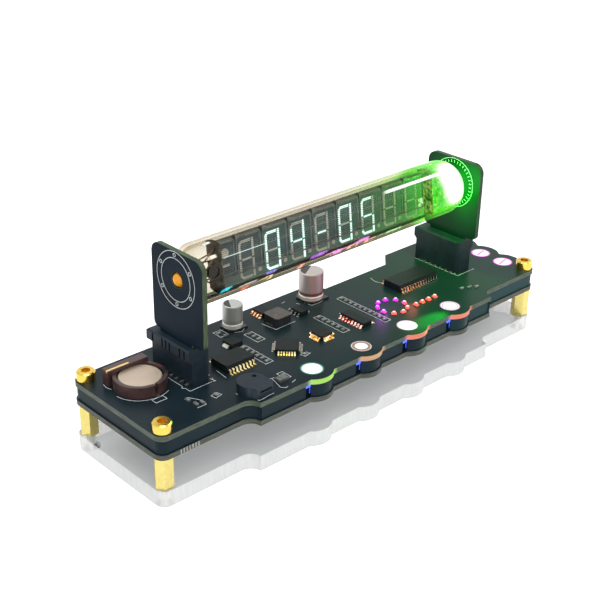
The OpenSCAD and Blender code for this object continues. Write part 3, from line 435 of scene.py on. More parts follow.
# %% Values of the acrylic
ACRYLIC_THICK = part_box("acrylic_base")[1].z
# The dark line just below the top is painted shade, where the sawn arris bends the light. The tint is also
# darker towards the bottom.
SHEET_CLEAR, SHEET_EDGE_SHADE_LINE = (0.93, 0.93, 0.925), (0.66, 0.67, 0.66)
SHEET_TINT = ((0.0, (0.74, 0.755, 0.765)), (0.06, SHEET_CLEAR), (0.92, SHEET_CLEAR),
              (0.97, SHEET_EDGE_SHADE_LINE), (0.995, SHEET_EDGE_SHADE_LINE), (1.0, (0.92, 0.92, 0.91)))
SAW_GRAIN, FROST_LEAST, FROST_MOST = 1100, 0.52, 0.57
FACE_GLOSS, EDGE_GLOW = 0.04, 0.14
SHADOW_LIGHTENED = 0.75
BENCH_GAP = 0.00005
print("foot is", round(ACRYLIC_THICK / MM, 1), "mm thick")

# %% Acrylic
def sheet_gloss(material, height):
    """How much of the sheet is solid: its frosted edge, and its gloss but for the underside."""
    saw_marks = noise_node(material, SAW_GRAIN, 3, (1, 1, 0.15))
    frost = map_range(material, saw_marks, 0.3, 0.7, FROST_LEAST, FROST_MOST)
    film = math_node(material, "MULTIPLY", flat_side(material, 2), frost)
    rim = add_node(material, "Fresnel", IOR=1.3).outputs[0]
    above = math_node(material, "GREATER_THAN", height, BENCH_GAP)
    gloss = math_node(material, "MULTIPLY", math_node(material, "ADD", rim, FACE_GLOSS), above)
    return math_node(material, "MAXIMUM", film, gloss)


def acrylic():
    material = new_material("clear_acrylic", (0.9, 0.92, 0.94, 0.4))
    shader = shader_of(material)
    shader.inputs["Base Color"].default_value = (0.9, 0.9, 0.89, 1)
    shader.inputs["Roughness"].default_value = 0.12
    shader.inputs["IOR"].default_value = 1.49
    height = axes_of(material)[2]
    clear = add_node(material, "BsdfTransparent")
    level = map_range(material, height, 0.0, ACRYLIC_THICK)
    link(material, ramp_node(material, level, SHEET_TINT), clear.inputs[0])
    light_up(material, (1, 1, 0.99), math_node(material, "MULTIPLY", flat_side(material, 2), EDGE_GLOW))
    shadow = add_node(material, "LightPath").outputs["Is Shadow Ray"]
    lit = math_node(material, "SUBTRACT", 1, math_node(material, "MULTIPLY", shadow, SHADOW_LIGHTENED))
    share = math_node(material, "MULTIPLY", sheet_gloss(material, height), lit)
    blend_shaders(material, share, clear.outputs[0], shader.outputs[0], "Material Output")
    return material


dress(acrylic(), "acrylic_base")
print("foot dressed")

# %% [markdown]
# ## Brass, tin and gold
# The pillars are turned from pale brass and the screws are plated a deeper gold. Solder feet and
# chip leads are tinned or gold plated. All of these are metals, so their colour lives in the
# reflection. A mirror finish would look like chrome, so a fine noise breaks up the gloss.

# %% Metals
METALS = [  # name, colour, roughness, change of shade, grain and pieces
    ("gold_screws", (0.8, 0.55, 0.11), 0.2, 0.1, 900, ["top_screws"]),
    ("steel_base_screws", (0.55, 0.55, 0.55), 0.3, 0.1, 500, ["base_screws"]),
    ("pale_brass", (0.68, 0.57, 0.19), 0.28, 0.06, 700, ["standoffs"]),
    ("tin_feet", (0.6, 0.58, 0.52), 0.4, 0.2, 500,
     ["left_socket_feet", "right_socket_feet", "rectifier_tabs", "transistor_leads"]),
    ("worn_tin", (0.3, 0.3, 0.28), 0.45, 0.3, 1200, ["edge_contacts"]),
    ("gold_strip", (0.83, 0.58, 0.24), 0.3, 0.15, 500, ["cell_contact"]),
    ("spring_steel", (0.45, 0.42, 0.38), 0.35, 0.12, 500, ["cell_spring"]),
    ("inlet_shell", (0.62, 0.62, 0.64), 0.3, 0.08, 500, ["power_inlet"])]
for name, colour, rough, vary, grain, nodes in METALS:
    dress(finish(name, colour, rough, 1, vary, grain), *nodes)
dress(finish("dark_can", (0.16, 0.17, 0.16), rough=0.4, metal=0.6, vary=0.4, grain=700), "crystal")
print("metals:", [row[0] for row in METALS])

# %% [markdown]
# ## Leads that catch the coloured lamps
# The rows of chip leads mirror the coloured lamps of the clock and look lit: gold, orange and red.
# Tracing those mirror images would take a lamp and many samples for each row. So each row gets a
# metal of its own tint with a weak light in it, broken up by a noise so that the leads sparkle
# unevenly, as small curved mirrors do. Leads that no lamp reaches stay bare tin.

# %% Lit leads
BARE_TIN = (0.55, 0.52, 0.45)


def lit_leads(name, colour, strength, heart):
    material = finish(name, colour, rough=0.25, metal=1, vary=0.35, grain=900, bump=0.1)
    dim = tuple(c * 0.2 for c in colour)
    stops = ((0.4, dim), (0.48, colour), (0.56, heart))
    light_up(material, ramp_node(material, noise_node(material, 1100, 2), stops), strength)
    return material


def bare_ends(material, way, places):
    """The light fades out from the first to the second place along the given way, and from the
    third down to the fourth, and beyond them the leads are bare tin."""
    along = vector_node(material, "DOT_PRODUCT", way)
    above = map_range(material, along, places[0], places[1])
    below = map_range(material, along, places[2], places[3])
    emission = shader_of(material).inputs["Emission Color"]
    for end in (above, below):
        link(material, mix_colours(material, end, emission.links[0].from_socket, BLACK), emission)
    paint_over(material, math_node(material, "MAXIMUM", above, below), BARE_TIN)
    return material


dress(lit_leads("orange_leads", (1.0, 0.3, 0.05), 1.1, (1.0, 0.9, 0.75)), "boost_chip_leads")
dress(lit_leads("amber_leads", (0.95, 0.42, 0.03), 1.2, (1.0, 0.95, 0.8)), "interface_chip_leads")
dress(lit_leads("red_leads", (1.0, 0.07, 0.02), 1.2, (1.0, 0.85, 0.75)), "logic_chip_leads")
print("fully lit lead rows dressed")

# %% Lead rows with bare ends
LEAD_GOLD, LEAD_GOLD_HEART = (0.85, 0.55, 0.06), (1.0, 0.95, 0.7)
chip_low, chip_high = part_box("microcontroller")
cornerwise = Vector((1, -1, 0)).normalized()
chip_middle = (chip_low + chip_high).dot(cornerwise) / 2
chip_half = (chip_high.x - chip_low.x) / 2 * math.sqrt(0.5)
turned_gold = lit_leads("gold_leads", LEAD_GOLD, 0.8, LEAD_GOLD_HEART)
dress(bare_ends(turned_gold, cornerwise, (
    chip_middle + chip_half - 0.3 * MM, chip_middle + chip_half - 0.1 * MM,
    chip_middle - chip_half + 0.3 * MM, chip_middle - chip_half + 0.1 * MM)), "microcontroller_leads")
clock_low, clock_high = (corner.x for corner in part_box("clock_chip"))
clock_gold = lit_leads("clock_chip_gold", LEAD_GOLD, 0.8, LEAD_GOLD_HEART)
dress(bare_ends(clock_gold, X, (clock_high - 0.9 * MM, clock_high - 0.3 * MM,
                                clock_low + 0.9 * MM, clock_low + 0.3 * MM)), "clock_chip_leads")
driver_low, driver_high = (corner.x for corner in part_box("display_driver_leads"))
driver_coral = lit_leads("coral_leads", (0.85, 0.3, 0.13), 0.5, (1.0, 0.75, 0.5))
dress(bare_ends(driver_coral, X, (driver_low + 3 * MM, driver_high - 4 * MM,
                                  driver_low - 1 * MM, driver_low - 2 * MM)), "display_driver_leads")
print("turned chip is", round(2 * chip_half / MM, 1), "mm wide between its sides")

# %% [markdown]
# ## Moulded plastic and ceramic
# Chip bodies are black epoxy with a fine matt skin. The sockets are a harder, smoother moulding,
# and the buzzer is a dark shell. The cell holder is a brown heat-proof plastic. One shared black
# would make them look like toys, so each gets its own tint, gloss and grain.

# %% Plastics
for name, colour, node in (("navy_socket", (0.012, 0.022, 0.032), "left_socket"),
                           ("green_lit_socket", (0.009, 0.026, 0.026), "right_socket")):
    dress(finish(name, colour, rough=0.45, vary=0.25, grain=350, bump=0.08, Specular_IOR_Level=0.2), node)
dress(finish("brown_holder", (0.055, 0.026, 0.024), rough=0.42, vary=0.25, grain=300, bump=0.08),
      "cell_holder")
dress(finish("black_hook", (0.012, 0.011, 0.011), rough=0.35), "cell_hook")
dress(finish("chip_epoxy", (0.007, 0.011, 0.011), rough=0.5, vary=0.3, grain=1500, bump=0.15,
             Specular_IOR_Level=0.16), "boost_chip", "transistor", "rectifier", "clock_chip",
      "microcontroller", "interface_chip", "logic_chip", "display_driver")
dress(finish("buzzer_shell", (0.011, 0.02, 0.03), rough=0.45, vary=0.2, grain=700, bump=0.1,
             Specular_IOR_Level=0.3), "buzzer")
dress(finish("capacitor_foot", (0.008, 0.009, 0.011), rough=0.35, bump=0.05), "small_capacitor_base",
      "large_capacitor_base")
dress(finish("resistor_ceramic", (0.2, 0.21, 0.2), rough=0.4, vary=0.6, grain=700, bump=0.1),
      "chip_resistors")
print("plastics dressed")

# %% Inductor
ferrite = finish("inductor_ferrite", (0.11, 0.1, 0.087), rough=0.6, vary=0.25, grain=1200, bump=0.25,
                 Specular_IOR_Level=0.2)
ferrite_side = math_node(ferrite, "LESS_THAN", axes_of(ferrite, "Normal")[2], 0.6)
paint_over(ferrite, ferrite_side, (0.017, 0.02, 0.023))
dress(ferrite, "power_inductor")
print("inductor has a pale top and dark sides")

# %% [markdown]
# ## Cell and capacitor cans
# A coin cell is brushed steel with a warm cast, and a capacitor can is drawn aluminium. Both are
# soft metals with a fine grain. The larger can also mirrors the coloured lamps around it in
# upright bands. A change of tint round the can stands for these, because it holds from all sides.

# %% Cell and cans
FOOT_HIGH = 0.0036
BEAD_HIGHLIGHT = (0.9, 0.87, 0.82)


def can_finish(name, node, tint, warm, neck_shade):
    """Bands of painted reflection round the can, and above its foot a painted highlight on the bead and
    painted shade in the neck.
    """
    material = finish(name, tint, rough=0.42, metal=0.45, vary=0.04, grain=900, bump=0.02)
    turned = math_node(material, "MULTIPLY", axes_of(material, "Normal")[0], 0.5)
    bands = ramp_node(material, math_node(material, "ADD", turned, 0.5),
                      ((0.0, tint), (0.25, warm), (0.45, tint), (0.75, warm), (1.0, tint)))
    paint_over(material, flat_side(material, 2), bands)
    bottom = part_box(node)[0].z
    foot = map_range(material, axes_of(material)[2], bottom, bottom + FOOT_HIGH)
    # A painted highlight on the bead at the foot, and painted shade in the neck above it.
    bead_light_and_shade = ramp_node(material, foot, ((0.0, BEAD_HIGHLIGHT), (0.36, BEAD_HIGHLIGHT), (0.44, neck_shade), (0.66, neck_shade),
                                       (0.8, (0.5, 0.5, 0.5))))
    paint_over(material, 1, bead_light_and_shade, "OVERLAY")
    dress(material, node)


dress(finish("cell_steel", (0.5, 0.41, 0.32), rough=0.5, metal=0.5, vary=0.06, grain=200, bump=0.02),
      "coin_cell")
can_finish("small_can", "small_capacitor_can", (0.5, 0.52, 0.48), (0.42, 0.4, 0.38), (0.4, 0.4, 0.4))
can_finish("large_can", "large_capacitor_can", (0.56, 0.5, 0.47), (0.6, 0.34, 0.3), (0.14, 0.13, 0.13))
print("cell and cans dressed")

# %% [markdown]
# ## Lamps on and under the board
# The ring and row of small lamps run from violet to coral. Each lamp could have a material of its
# own, but one ramp across them gives the same run of colour, with a paler heart where the chip of
# each lamp sits. The touch pads glow white, and blue lamps peep out where each bump meets the edge.

# %% Indicator lamps
RING_SLANT = Vector((0.15, -1, 0))
RING_RUN = 0.0115
RING_COLOURS = ((0.0, (0.5, 0.01, 0.8)), (0.27, (0.55, 0.02, 0.76)), (0.54, (0.68, 0.04, 0.55)),
                (0.68, (0.85, 0.08, 0.25)), (0.8, (0.9, 0.12, 0.07)))
ring_low, ring_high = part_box("indicator_leds")


def indicator_finish():
    material = finish("indicator_lamps", (0.6, 0.2, 0.4), rough=0.25, vary=0.2, grain=900, bump=0.2)
    low = RING_SLANT.dot(Vector((ring_low.x, ring_high.y, 0)))
    run = map_range(material, vector_node(material, "DOT_PRODUCT", RING_SLANT), low, low + RING_RUN)
    colours = ramp_node(material, run, RING_COLOURS)
    height = map_range(material, axes_of(material)[2], ring_low.z + 0.6 * MM, ring_high.z, -0.25, 0.4)
    chip = math_node(material, "ADD", noise_node(material, 1700, 2), height)
    heart = map_range(material, chip, 0.55, 0.75)
    light_up(material, mix_colours(material, heart, colours, (1.0, 0.85, 0.95)), 1.0)
    link(material, colours, shader_of(material).inputs["Base Color"])
    return material


dress(indicator_finish(), "indicator_leds")
print("indicator lamps dressed")

# %% Pads and edge lamps
def glowing(name, colour, glow, strength, speckle=900, dark=0.8):
    """A lit surface whose glow drops to its dark share in speckles."""
    material = finish(name, colour, rough=0.3, vary=0.05, grain=600)
    stops = ((0.3, tuple(c * dark for c in glow)), (0.55, glow))
    light_up(material, ramp_node(material, noise_node(material, speckle, 3), stops), strength)
    return material


dress(glowing("pad_light", (0.25, 0.25, 0.26), (1, 1, 1), 0.85), "pad_windows")
dress(glowing("pad_lamps", (0.9, 0.9, 0.9), (1, 0.95, 1), 1.0), "pad_leds")
dress(glowing("blue_lamps", (0.03, 0.06, 0.5), (0.08, 0.16, 1.0), 1.3, 1500, 0.5), "edge_leds")
print("pads and edge lamps dressed")

# %% [markdown]
# ## The glass of the tube
# The tube is thin soda glass with a faint brown cast from its age. Seen edge-on it looks denser,
# because the light crosses more glass, and it mirrors at a glancing angle. Its underside mirrors the
# dark board and the small lamps below it, and the bright lamp in its right end lights the glass from
# inside. Real refraction is slow and noisy here, so the reflections underneath and the lamp's green
# light are painted into the glass, by the height round the tube and the place along it.

# %% Places on the tube
glass_low, glass_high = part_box("tube_glass")
TUBE_R = (glass_high.z - glass_low.z) / 2
TUBE_AXIS = Vector((0, (glass_low.y + glass_high.y) / 2, glass_low.z + TUBE_R))
RAISE = Vector((0, 0.567, 0.824))
FRONT = Vector((0, -0.824, 0.567))


def off_axis(material, way):
    """Metres from the tube's axis: up its slanted height, or towards its front."""
    return math_node(material, "SUBTRACT", vector_node(material, "DOT_PRODUCT", way), way.dot(TUBE_AXIS))


def within(material, value, low, high, soft):
    """One between low and high, with a soft step at each."""
    rise = map_range(material, value, low - soft, low + soft)
    fall = map_range(material, value, high - soft, high + soft, 1.0, 0.0)
    return math_node(material, "MULTIPLY", rise, fall)


print("tube in mm:", round((glass_high.x - glass_low.x) / MM, 1), "long,", round(2 * TUBE_R / MM, 1), "thick")

# %% Tint of the glass
REACH = 9
# WALL_TINT makes the glass darker and browner along its top. UNDER_REFLECTION_BANDS paints the dark board
# mirrored in the underside, with a pale line and a grey-green band in it.
WALL_TINT = [(-9, (0.93, 0.91, 0.87)), (-8.05, (0.93, 0.91, 0.87)), (-7.95, (1, 1, 1)), (6.2, (1, 1, 1)),
             (6.7, (0.9, 0.87, 0.81)), (7.95, (0.88, 0.845, 0.775)), (8.05, (0.77, 0.73, 0.65)),
             (9, (0.7, 0.65, 0.56))]
UNDER_REFLECTION_BANDS = [(-9, (0.03, 0.03, 0.03)), (-8.8, (0.05, 0.05, 0.04)), (-8.65, (0.2, 0.18, 0.14)),
              (-8.05, (0.16, 0.145, 0.11)), (-7.95, (0.42, 0.4, 0.34)), (-7.65, (0.38, 0.36, 0.31)),
              (-7.5, (0.14, 0.16, 0.18)), (-6.95, (0.16, 0.18, 0.19)), (-6.8, (0.36, 0.41, 0.37)),
              (-6.1, (0.36, 0.41, 0.37)), (-5.9, (1, 1, 1))]


def by_height(material, bands):
    """A ramp over the slanted height, whose stops are given in millimetres."""
    level = map_range(material, off_axis(material, RAISE), -REACH * MM, REACH * MM)
    return ramp_node(material, level, [((u + REACH) / (2 * REACH), colour) for u, colour in bands])


def glass_tint(material, rim):
    # Painted reflection of the dark board in the underside, turned into painted green light near the lamp.
    reflected_below = mix_colours(material, along_clock(material, 115, 121), by_height(material, UNDER_REFLECTION_BANDS),
                        (0.45, 0.85, 0.35))
    beneath = math_node(material, "LESS_THAN", off_axis(material, FRONT), 0)
    bands = mix_colours(material, beneath, by_height(material, WALL_TINT), reflected_below)
    tint = mix_colours(material, rim, (0.985, 0.982, 0.975), (0.86, 0.83, 0.78))
    tint = mix_colours(material, along_clock(material, 36, 27), tint, (0.9, 0.87, 0.8))
    # Painted green light of the end lamp, growing towards the right end.
    tint = mix_colours(material, along_clock(material, 84, 118), tint, (0.84, 0.96, 0.74))
    return mix_colours(material, 1, tint, bands, "MULTIPLY")


print("tint bands:", len(WALL_TINT), "on the wall and", len(UNDER_REFLECTION_BANDS), "underneath")

# %% Glare of the end lamp
FLARE = at(128.9, 15.2, 55.4)
CORE_SOLID, CORE_GONE, CORE_RAGGED = 8.4 * MM, 9.6 * MM, 4 * MM
GLARE_FROM, GLARE_FULL, GLARE_POWER = 23 * MM, 10 * MM, 1.7
GLARE_GREENS = ((0.38, (0.0, 0.2, 0.0)), (0.46, (0.0, 0.6, 0.0)), (0.56, (0.03, 0.9, 0.0)),
                (0.64, (0.55, 1.0, 0.02)), (0.72, (1, 1, 0.8)))


def end_glare(material, rim):
    """The light of the lamp in the glass, how far it has faded, and its ragged white core."""
    near_end = map_range(material, axes_of(material)[0], glass_high.x - GLARE_FROM, glass_high.x - GLARE_FULL)
    faded = math_node(material, "POWER", near_end, GLARE_POWER)
    flecks = noise_node(material, 750, 5)
    ragged = math_node(material, "ADD", vector_node(material, "DISTANCE", FLARE),
                       math_node(material, "MULTIPLY", flecks, CORE_RAGGED))
    core = map_range(material, ragged, CORE_GONE, CORE_SOLID)
    bright = math_node(material, "ADD", flecks, math_node(material, "MULTIPLY", core, 0.3))
    glow = mix_colours(material, faded, BLACK, ramp_node(material, bright, GLARE_GREENS))
    white_flecks = map_range(material, flecks, 0.34, 0.42, 0.7, 1.0)
    glow = mix_colours(material, math_node(material, "MULTIPLY", core, white_flecks), glow, WHITE)
    edge_green = math_node(material, "MULTIPLY", along_clock(material, 78, 128, 0.6), rim)
    return mix_colours(material, edge_green, glow, (0.35, 0.95, 0.2)), faded, core


print("glare is centred", round((glass_high.x - FLARE.x) / MM, 1), "mm from the end of the glass")

# %% Streak and glints
# Each glint is a painted reflection in the glass, most of them of a small lamp: its place along the
# clock and its slanted height, half its length and half its height, and its colour. The streak is
# a painted highlight of the end lamp's light along the upper front of the glass.
GLINTS = [((32.3, -7.35), (1.35, 0.42), (0.02, 0.7, 0.9)), ((39.3, -8.5), (1.4, 0.36), (1.0, 0.2, 0.08)),
          ((30.8, 6.5), (0.8, 0.35), (0.95, 0.93, 0.88)), ((29.1, 2.2), (1.2, 0.5), (0.85, 0.78, 0.62)),
          ((40.9, -7.8), (2.6, 0.16), (0.6, 0.58, 0.5)), ((47.9, -8.2), (1.5, 0.42), (0.85, 0.65, 0.25)),
          ((48.6, -7.05), (1.35, 0.36), (0.25, 0.2, 0.85)), ((60.8, -8.4), (1.3, 0.42), (1.0, 0.4, 0.28)),
          ((67.9, -7.2), (2.8, 0.36), (0.5, 0.14, 0.8)), ((75.1, -8.2), (2.4, 0.45), (0.9, 0.35, 0.6)),
          ((82.2, -8.2), (2.6, 0.4), (1.0, 0.45, 0.4)), ((86.2, -7.6), (2.4, 0.4), (0.7, 0.2, 0.7)),
          ((89.6, -8.3), (2.4, 0.36), (1.0, 0.45, 0.35)), ((100.0, -8.1), (3.5, 0.25), (0.45, 0.8, 0.35)),
          ((111.5, -3.1), (0.7, 1.2), (0.45, 0.95, 0.3))]
END_LAMP_STREAK = ((112.5, 3.5), (13.5, 0.5))
END_LAMP_STREAK_SOFT, GLINT_SOFT = (1.2 * MM, 0.15 * MM), (0.4 * MM, 0.12 * MM)


def patch(material, place, half, soft_ends, soft_sides):
    """One on a long patch of the front of the glass."""
    (x, u), (half_long, half_high) = place, half
    long = within(material, axes_of(material)[0], at(x - half_long, 0).x, at(x + half_long, 0).x, soft_ends)
    high = within(material, off_axis(material, RAISE), (u - half_high) * MM, (u + half_high) * MM, soft_sides)
    before = math_node(material, "GREATER_THAN", off_axis(material, FRONT), 0)
    return math_node(material, "MULTIPLY", math_node(material, "MULTIPLY", long, high), before)


def streak_and_glints(material, glow):
    """Add them to the glow, and say where they are solid."""
    solid = patch(material, *END_LAMP_STREAK, *END_LAMP_STREAK_SOFT)
    glow = mix_colours(material, solid, glow, WHITE)
    broken = map_range(material, noise_node(material, 600, 2), 0.36, 0.46)
    for place, half, colour in GLINTS:
        spot = math_node(material, "MULTIPLY", patch(material, place, half, *GLINT_SOFT), broken)
        glow = mix_colours(material, spot, glow, colour)
        solid = math_node(material, "MAXIMUM", solid, spot)
    return glow, solid


print("glints on the glass:", len(GLINTS))

# %% Tube glass
FACE_DENSITY, RIM_DENSITY, GLARE_DENSITY = 0.02, 0.2, 0.75
TUBE_LIGHT = 1.15


def tube_finish():
    material = new_material("tube_glass", (0.85, 0.85, 0.78, 0.3))
    shader = shader_of(material)
    shader.inputs["Base Color"].default_value = (0.03, 0.028, 0.024, 1)
    shader.inputs["Roughness"].default_value = 0.03
    shader.inputs["Specular IOR Level"].default_value = 0.6
    rim = add_node(material, "LayerWeight", Blend=0.35).outputs["Facing"]
    clear = add_node(material, "BsdfTransparent")
    link(material, glass_tint(material, rim), clear.inputs[0])
    glow, faded, core = end_glare(material, rim)
    glow, solid = streak_and_glints(material, glow)
    light_up(material, glow, TUBE_LIGHT)

    density = map_range(material, rim, 0.0, 1.0, FACE_DENSITY, RIM_DENSITY)
    amount = math_node(material, "MAXIMUM", density, math_node(material, "MULTIPLY", faded, GLARE_DENSITY))
    calm = map_range(material, off_axis(material, RAISE), -6.6 * MM, -7.4 * MM, 1.0, 0.45)
    amount = math_node(material, "MULTIPLY", amount, calm)
    amount = math_node(material, "MAXIMUM", amount, math_node(material, "MAXIMUM", solid, core))
    lit = math_node(material, "SUBTRACT", 1, add_node(material, "LightPath").outputs["Is Shadow Ray"])
    blend_shaders(material, math_node(material, "MULTIPLY", amount, lit), clear.outputs[0],
                  shader.outputs[0], "Material Output")
    return material


dress(tube_finish(), "tube_glass")
print("tube glass dressed")

# %% [markdown]
# ## Inside the tube
# A fine mesh of wires hangs in front of a dark ceramic plate that carries the digits. Pale bars are
# idle and the lit ones glow blue-green to white. Mica discs and brown leads hold it all at the left
# end, with a black pan that once cleaned the vacuum. The lamp at the right end could light the
# plate by itself, but its light is weak through the glass, so the plate has a little of its own.

# %% Plate of the digits
PLATE_GLOW = ((0.0, (0.03, 0.042, 0.055)), (0.3, (0.012, 0.07, 0.055)), (0.6, (0.01, 0.09, 0.055)),
              (0.85, (0.02, 0.2, 0.06)), (0.96, (0.02, 0.6, 0.04)), (1.0, (0.1, 0.95, 0.06)))
plate_low, plate_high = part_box("anode_plate")


def plate_finish():
    """A dark plate that is greener towards the lamp and bare along its lower margin."""
    material = finish("anode_plate", (0.045, 0.058, 0.066), rough=0.5, vary=0.2, grain=300, bump=0.05)
    span = map_range(material, axes_of(material)[0], plate_low.x, plate_high.x)
    light_up(material, ramp_node(material, span, PLATE_GLOW), 0.6)
    margin = map_range(material, off_axis(material, RAISE), -3.5 * MM, -3.9 * MM)
    paint_over(material, margin, (0.17, 0.22, 0.19))
    return material


dress(plate_finish(), "anode_plate")
print("plate is", round((plate_high.x - plate_low.x) / MM, 1), "mm long")

# %% Mica frame and heater wires
MICA_SPARKS = ((0.42, (0.0, 0.08, 0.0)), (0.52, (0.05, 0.6, 0.01)), (0.6, (0.75, 0.7, 0.02)),
               (0.68, (1.0, 0.95, 0.6)))


def frame_finish():
    """Warm mica at the top, painted dark below where the glass mirrors the dark board, and painted sparks of
    the lamp's light at its end.
    """
    material = finish("mica_frame", (0.13, 0.118, 0.1), rough=0.5, vary=0.75, grain=420, bump=0.1,
                      Specular_IOR_Level=0.2)
    painted_dark_below = map_range(material, off_axis(material, RAISE), -5.2 * MM, -6 * MM)
    paint_over(material, painted_dark_below, (0.022, 0.03, 0.034))
    sparks = ramp_node(material, noise_node(material, 900, 4), MICA_SPARKS)
    light_up(material, mix_colours(material, along_clock(material, 119, 127), BLACK, sparks), 1.0)
    return material


def filament_finish():
    """One stretch of the wire's upper side glows, as a painted highlight where it mirrors the studio lamp."""
    material = finish("filament_wire", (0.2, 0.23, 0.22), rough=0.4, metal=0.6, vary=0.2)
    stretch = within(material, axes_of(material)[0], at(36, 0).x, at(52, 0).x, 0.0005)
    upper = math_node(material, "GREATER_THAN", off_axis(material, RAISE), 0)
    light_up(material, (0.75, 0.95, 0.88), math_node(material, "MULTIPLY", stretch, upper))
    return material


dress(frame_finish(), "support_frame")
dress(filament_finish(), "filaments")
print("frame and heater wires dressed")

# %% Digits, wires and lamp
dress(finish("idle_phosphor", (0.78, 0.76, 0.67), rough=0.6, vary=0.15, grain=900), "dark_segments")
dress(glowing("lit_phosphor", (0.5, 0.6, 0.58), (0.85, 1, 0.97), 1.3, dark=0.95), "lit_segments")
dress(finish("grid_wire", (0.16, 0.18, 0.17), rough=0.35, metal=0.8, vary=0.3), "control_grids")
dress(finish("brown_leads", (0.2, 0.15, 0.11), rough=0.35, metal=0.8, vary=0.5, grain=900), "lead_wires")
dress(finish("getter_pan", (0.01, 0.01, 0.01), rough=0.3, vary=0.3), "getter")
dress(glowing("amber_tip", (0.75, 0.3, 0.0), (0.83, 0.33, 0.0), 0.12), "exhaust_tip")
dress(glowing("end_lamp", (0.9, 1, 0.85), (0.85, 1, 0.75), 1.6), "end_light")
print("display dressed")

# %% [markdown]
# ## White print on the boards
# The outlines and marks round the parts are a thin white ink. It could be painted in a material,
# but thin lines stay sharp as geometry. So each is a chain of points in millimetres, swept into a
# flat ribbon with mitred corners that lies on the mask.

# %% Ribbons from chains of points
INK_RISE = 0.03
SHARPEST_MITRE = 0.35


def ribbon(shape, points, width, closed=False, out=Z):
    """Add a flat ribbon, in millimetres wide, that stands out of its board by the ink's rise."""
    count = len(points)
    sides = []
    for i, here in enumerate(points):
        before = points[i - 1] if closed or i else None
        after = points[(i + 1) % count] if closed or i < count - 1 else None
        ways = [(b - a).normalized() for a, b in ((before, here), (here, after))
                if a is not None and b is not None]
        mitre = sum((out.cross(way) for way in ways), Vector())
        sides.append(mitre * (len(ways) / max(SHARPEST_MITRE, mitre.length_squared)) * (width / 2 * MM))
    low, high = out * 0, out * INK_RISE * MM
    corners = ((1, low), (1, high), (-1, high), (-1, low))
    rows = [[shape.verts.new(here + sign * side + lift) for sign, lift in corners]
            for here, side in zip(points, sides)]
    for a, b in list(zip(rows, rows[1:])) + ([(rows[-1], rows[0])] if closed else []):
        for k in range(4):
            shape.faces.new((a[k], b[k], b[(k + 1) % 4], a[(k + 1) % 4]))
    if not closed:
        shape.faces.new(rows[0])
        shape.faces.new(tuple(reversed(rows[-1])))


print("ribbon helper ready")

# %% Rings and finished pieces
def ring_points(centre, radius, along, across, steps=48):
    turns = [math.tau * k / steps for k in range(steps)]
    return [centre + (along * math.cos(turn) + across * math.sin(turn)) * radius * MM for turn in turns]


def piece(name, shape, material, body):
    bmesh.ops.recalc_face_normals(shape, faces=shape.faces)
    mesh = bpy.data.meshes.new(name)
    shape.to_mesh(mesh)
    shape.free()
    mesh.materials.append(material)
    thing = bpy.data.objects.new(name, mesh)
    bpy.context.scene.collection.objects.link(thing)
    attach(thing, body)
    return thing


print("piece helper ready")

# %% Outlines on the deck
CHAINS = [
    [(59.7, 28.1), (60.5, 22.4), (68.7, 22.6)],
    [(49.4, 32.4), (49.7, 29.2), (51.9, 28.3), (55.1, 30.2)],
    [(79.6, 30.1), (80.2, 27.1), (83.3, 26.9), (87.1, 27.7)],
    [(26.6, 1.6), (27.2, -0.2)], [(29.2, -2.5), (29.0, -5.5), (30.5, -5.6), (33.2, -5.2), (34.8, -5.3)],
    [(39.0, 1.3), (40.7, 1.0)], [(39.8, 1.2), (38.3, -4.1), (39.3, -5.3), (40.3, -5.1)],
    [(42.6, -4.3), (44.4, -3.8)],
    [(42.6, 22.8), (42.8, 21.0), (46.8, 21.3)],
    [(30.8, 15.1), (30.2, 9.9)], [(34.3, 21.7), (34.2, 19.2), (32.1, 18.6)],
    [(26.5, 12.7), (26.9, 10.7), (25.6, 11.1)],
    [(14.0, 8.3), (15.4, 8.6), (17.1, 5.6), (17.0, 2.6), (14.0, 2.7)],
    [(83.0, 17.6), (81.1, 6.1), (86.7, 6.9), (86.4, 5.2)],
    [(132.8, 30.0), (132.8, 10.8), (141.5, 10.8)],
    [(17.9, 21.6), (17.9, 14.4), (17.2, 13.7), (17.9, 13.0), (17.9, 10.9), (26.7, 11.0), (27.0, 12.5)],
    [(109.2, 29.0), (108.3, 26.0), (109.2, 23.4), (112.1, 24.6), (108.9, 15.2)],
    [(1.9, 29.8), (1.6, 27.8), (2.0, 26.2)],
    [(73.9, 34.6), (75.4, 34.8)], [(73.6, 30.2), (72.3, 29.8)], [(77.4, 31.5), (77.8, 30.2)],
    [(74.2, 24.7), (76.8, 25.0)],
    [(55.3, 5.9), (57.1, 6.1), (58.2, 4.7), (55.8, 4.2), (55.3, 5.9)],
    [(20.7, 5.1), (23.0, 5.5), (23.5, 3.8), (21.1, 3.3), (20.7, 5.1)],
]
BRACKETS = [((43.9, 8.4), (46.8, 20.9)), ((50.9, 20.1), (54.0, 26.3)), ((74.6, 7.3), (77.4, 20.5)),
            ((89.5, 3.6), (92.0, 25.3)), ((44.5, 29.7), (47.6, 33.4)), ((42.5, -1.7), (44.6, 2.1)),
            ((7.1, 12.1), (10.8, 14.1))]
CELL_MIDDLE, CELL_ARC_R, CELL_ARC = (9.6, 22.8), 8.6, range(185, 300, 6)
SOCKET_TICKS, SOCKET_TICK_X, FIRST_TICK_Y, TICK_GAP = 8, (133.3, 134.2), 12.6, 2.1
print("chains:", len(CHAINS), "closed frames:", len(BRACKETS))

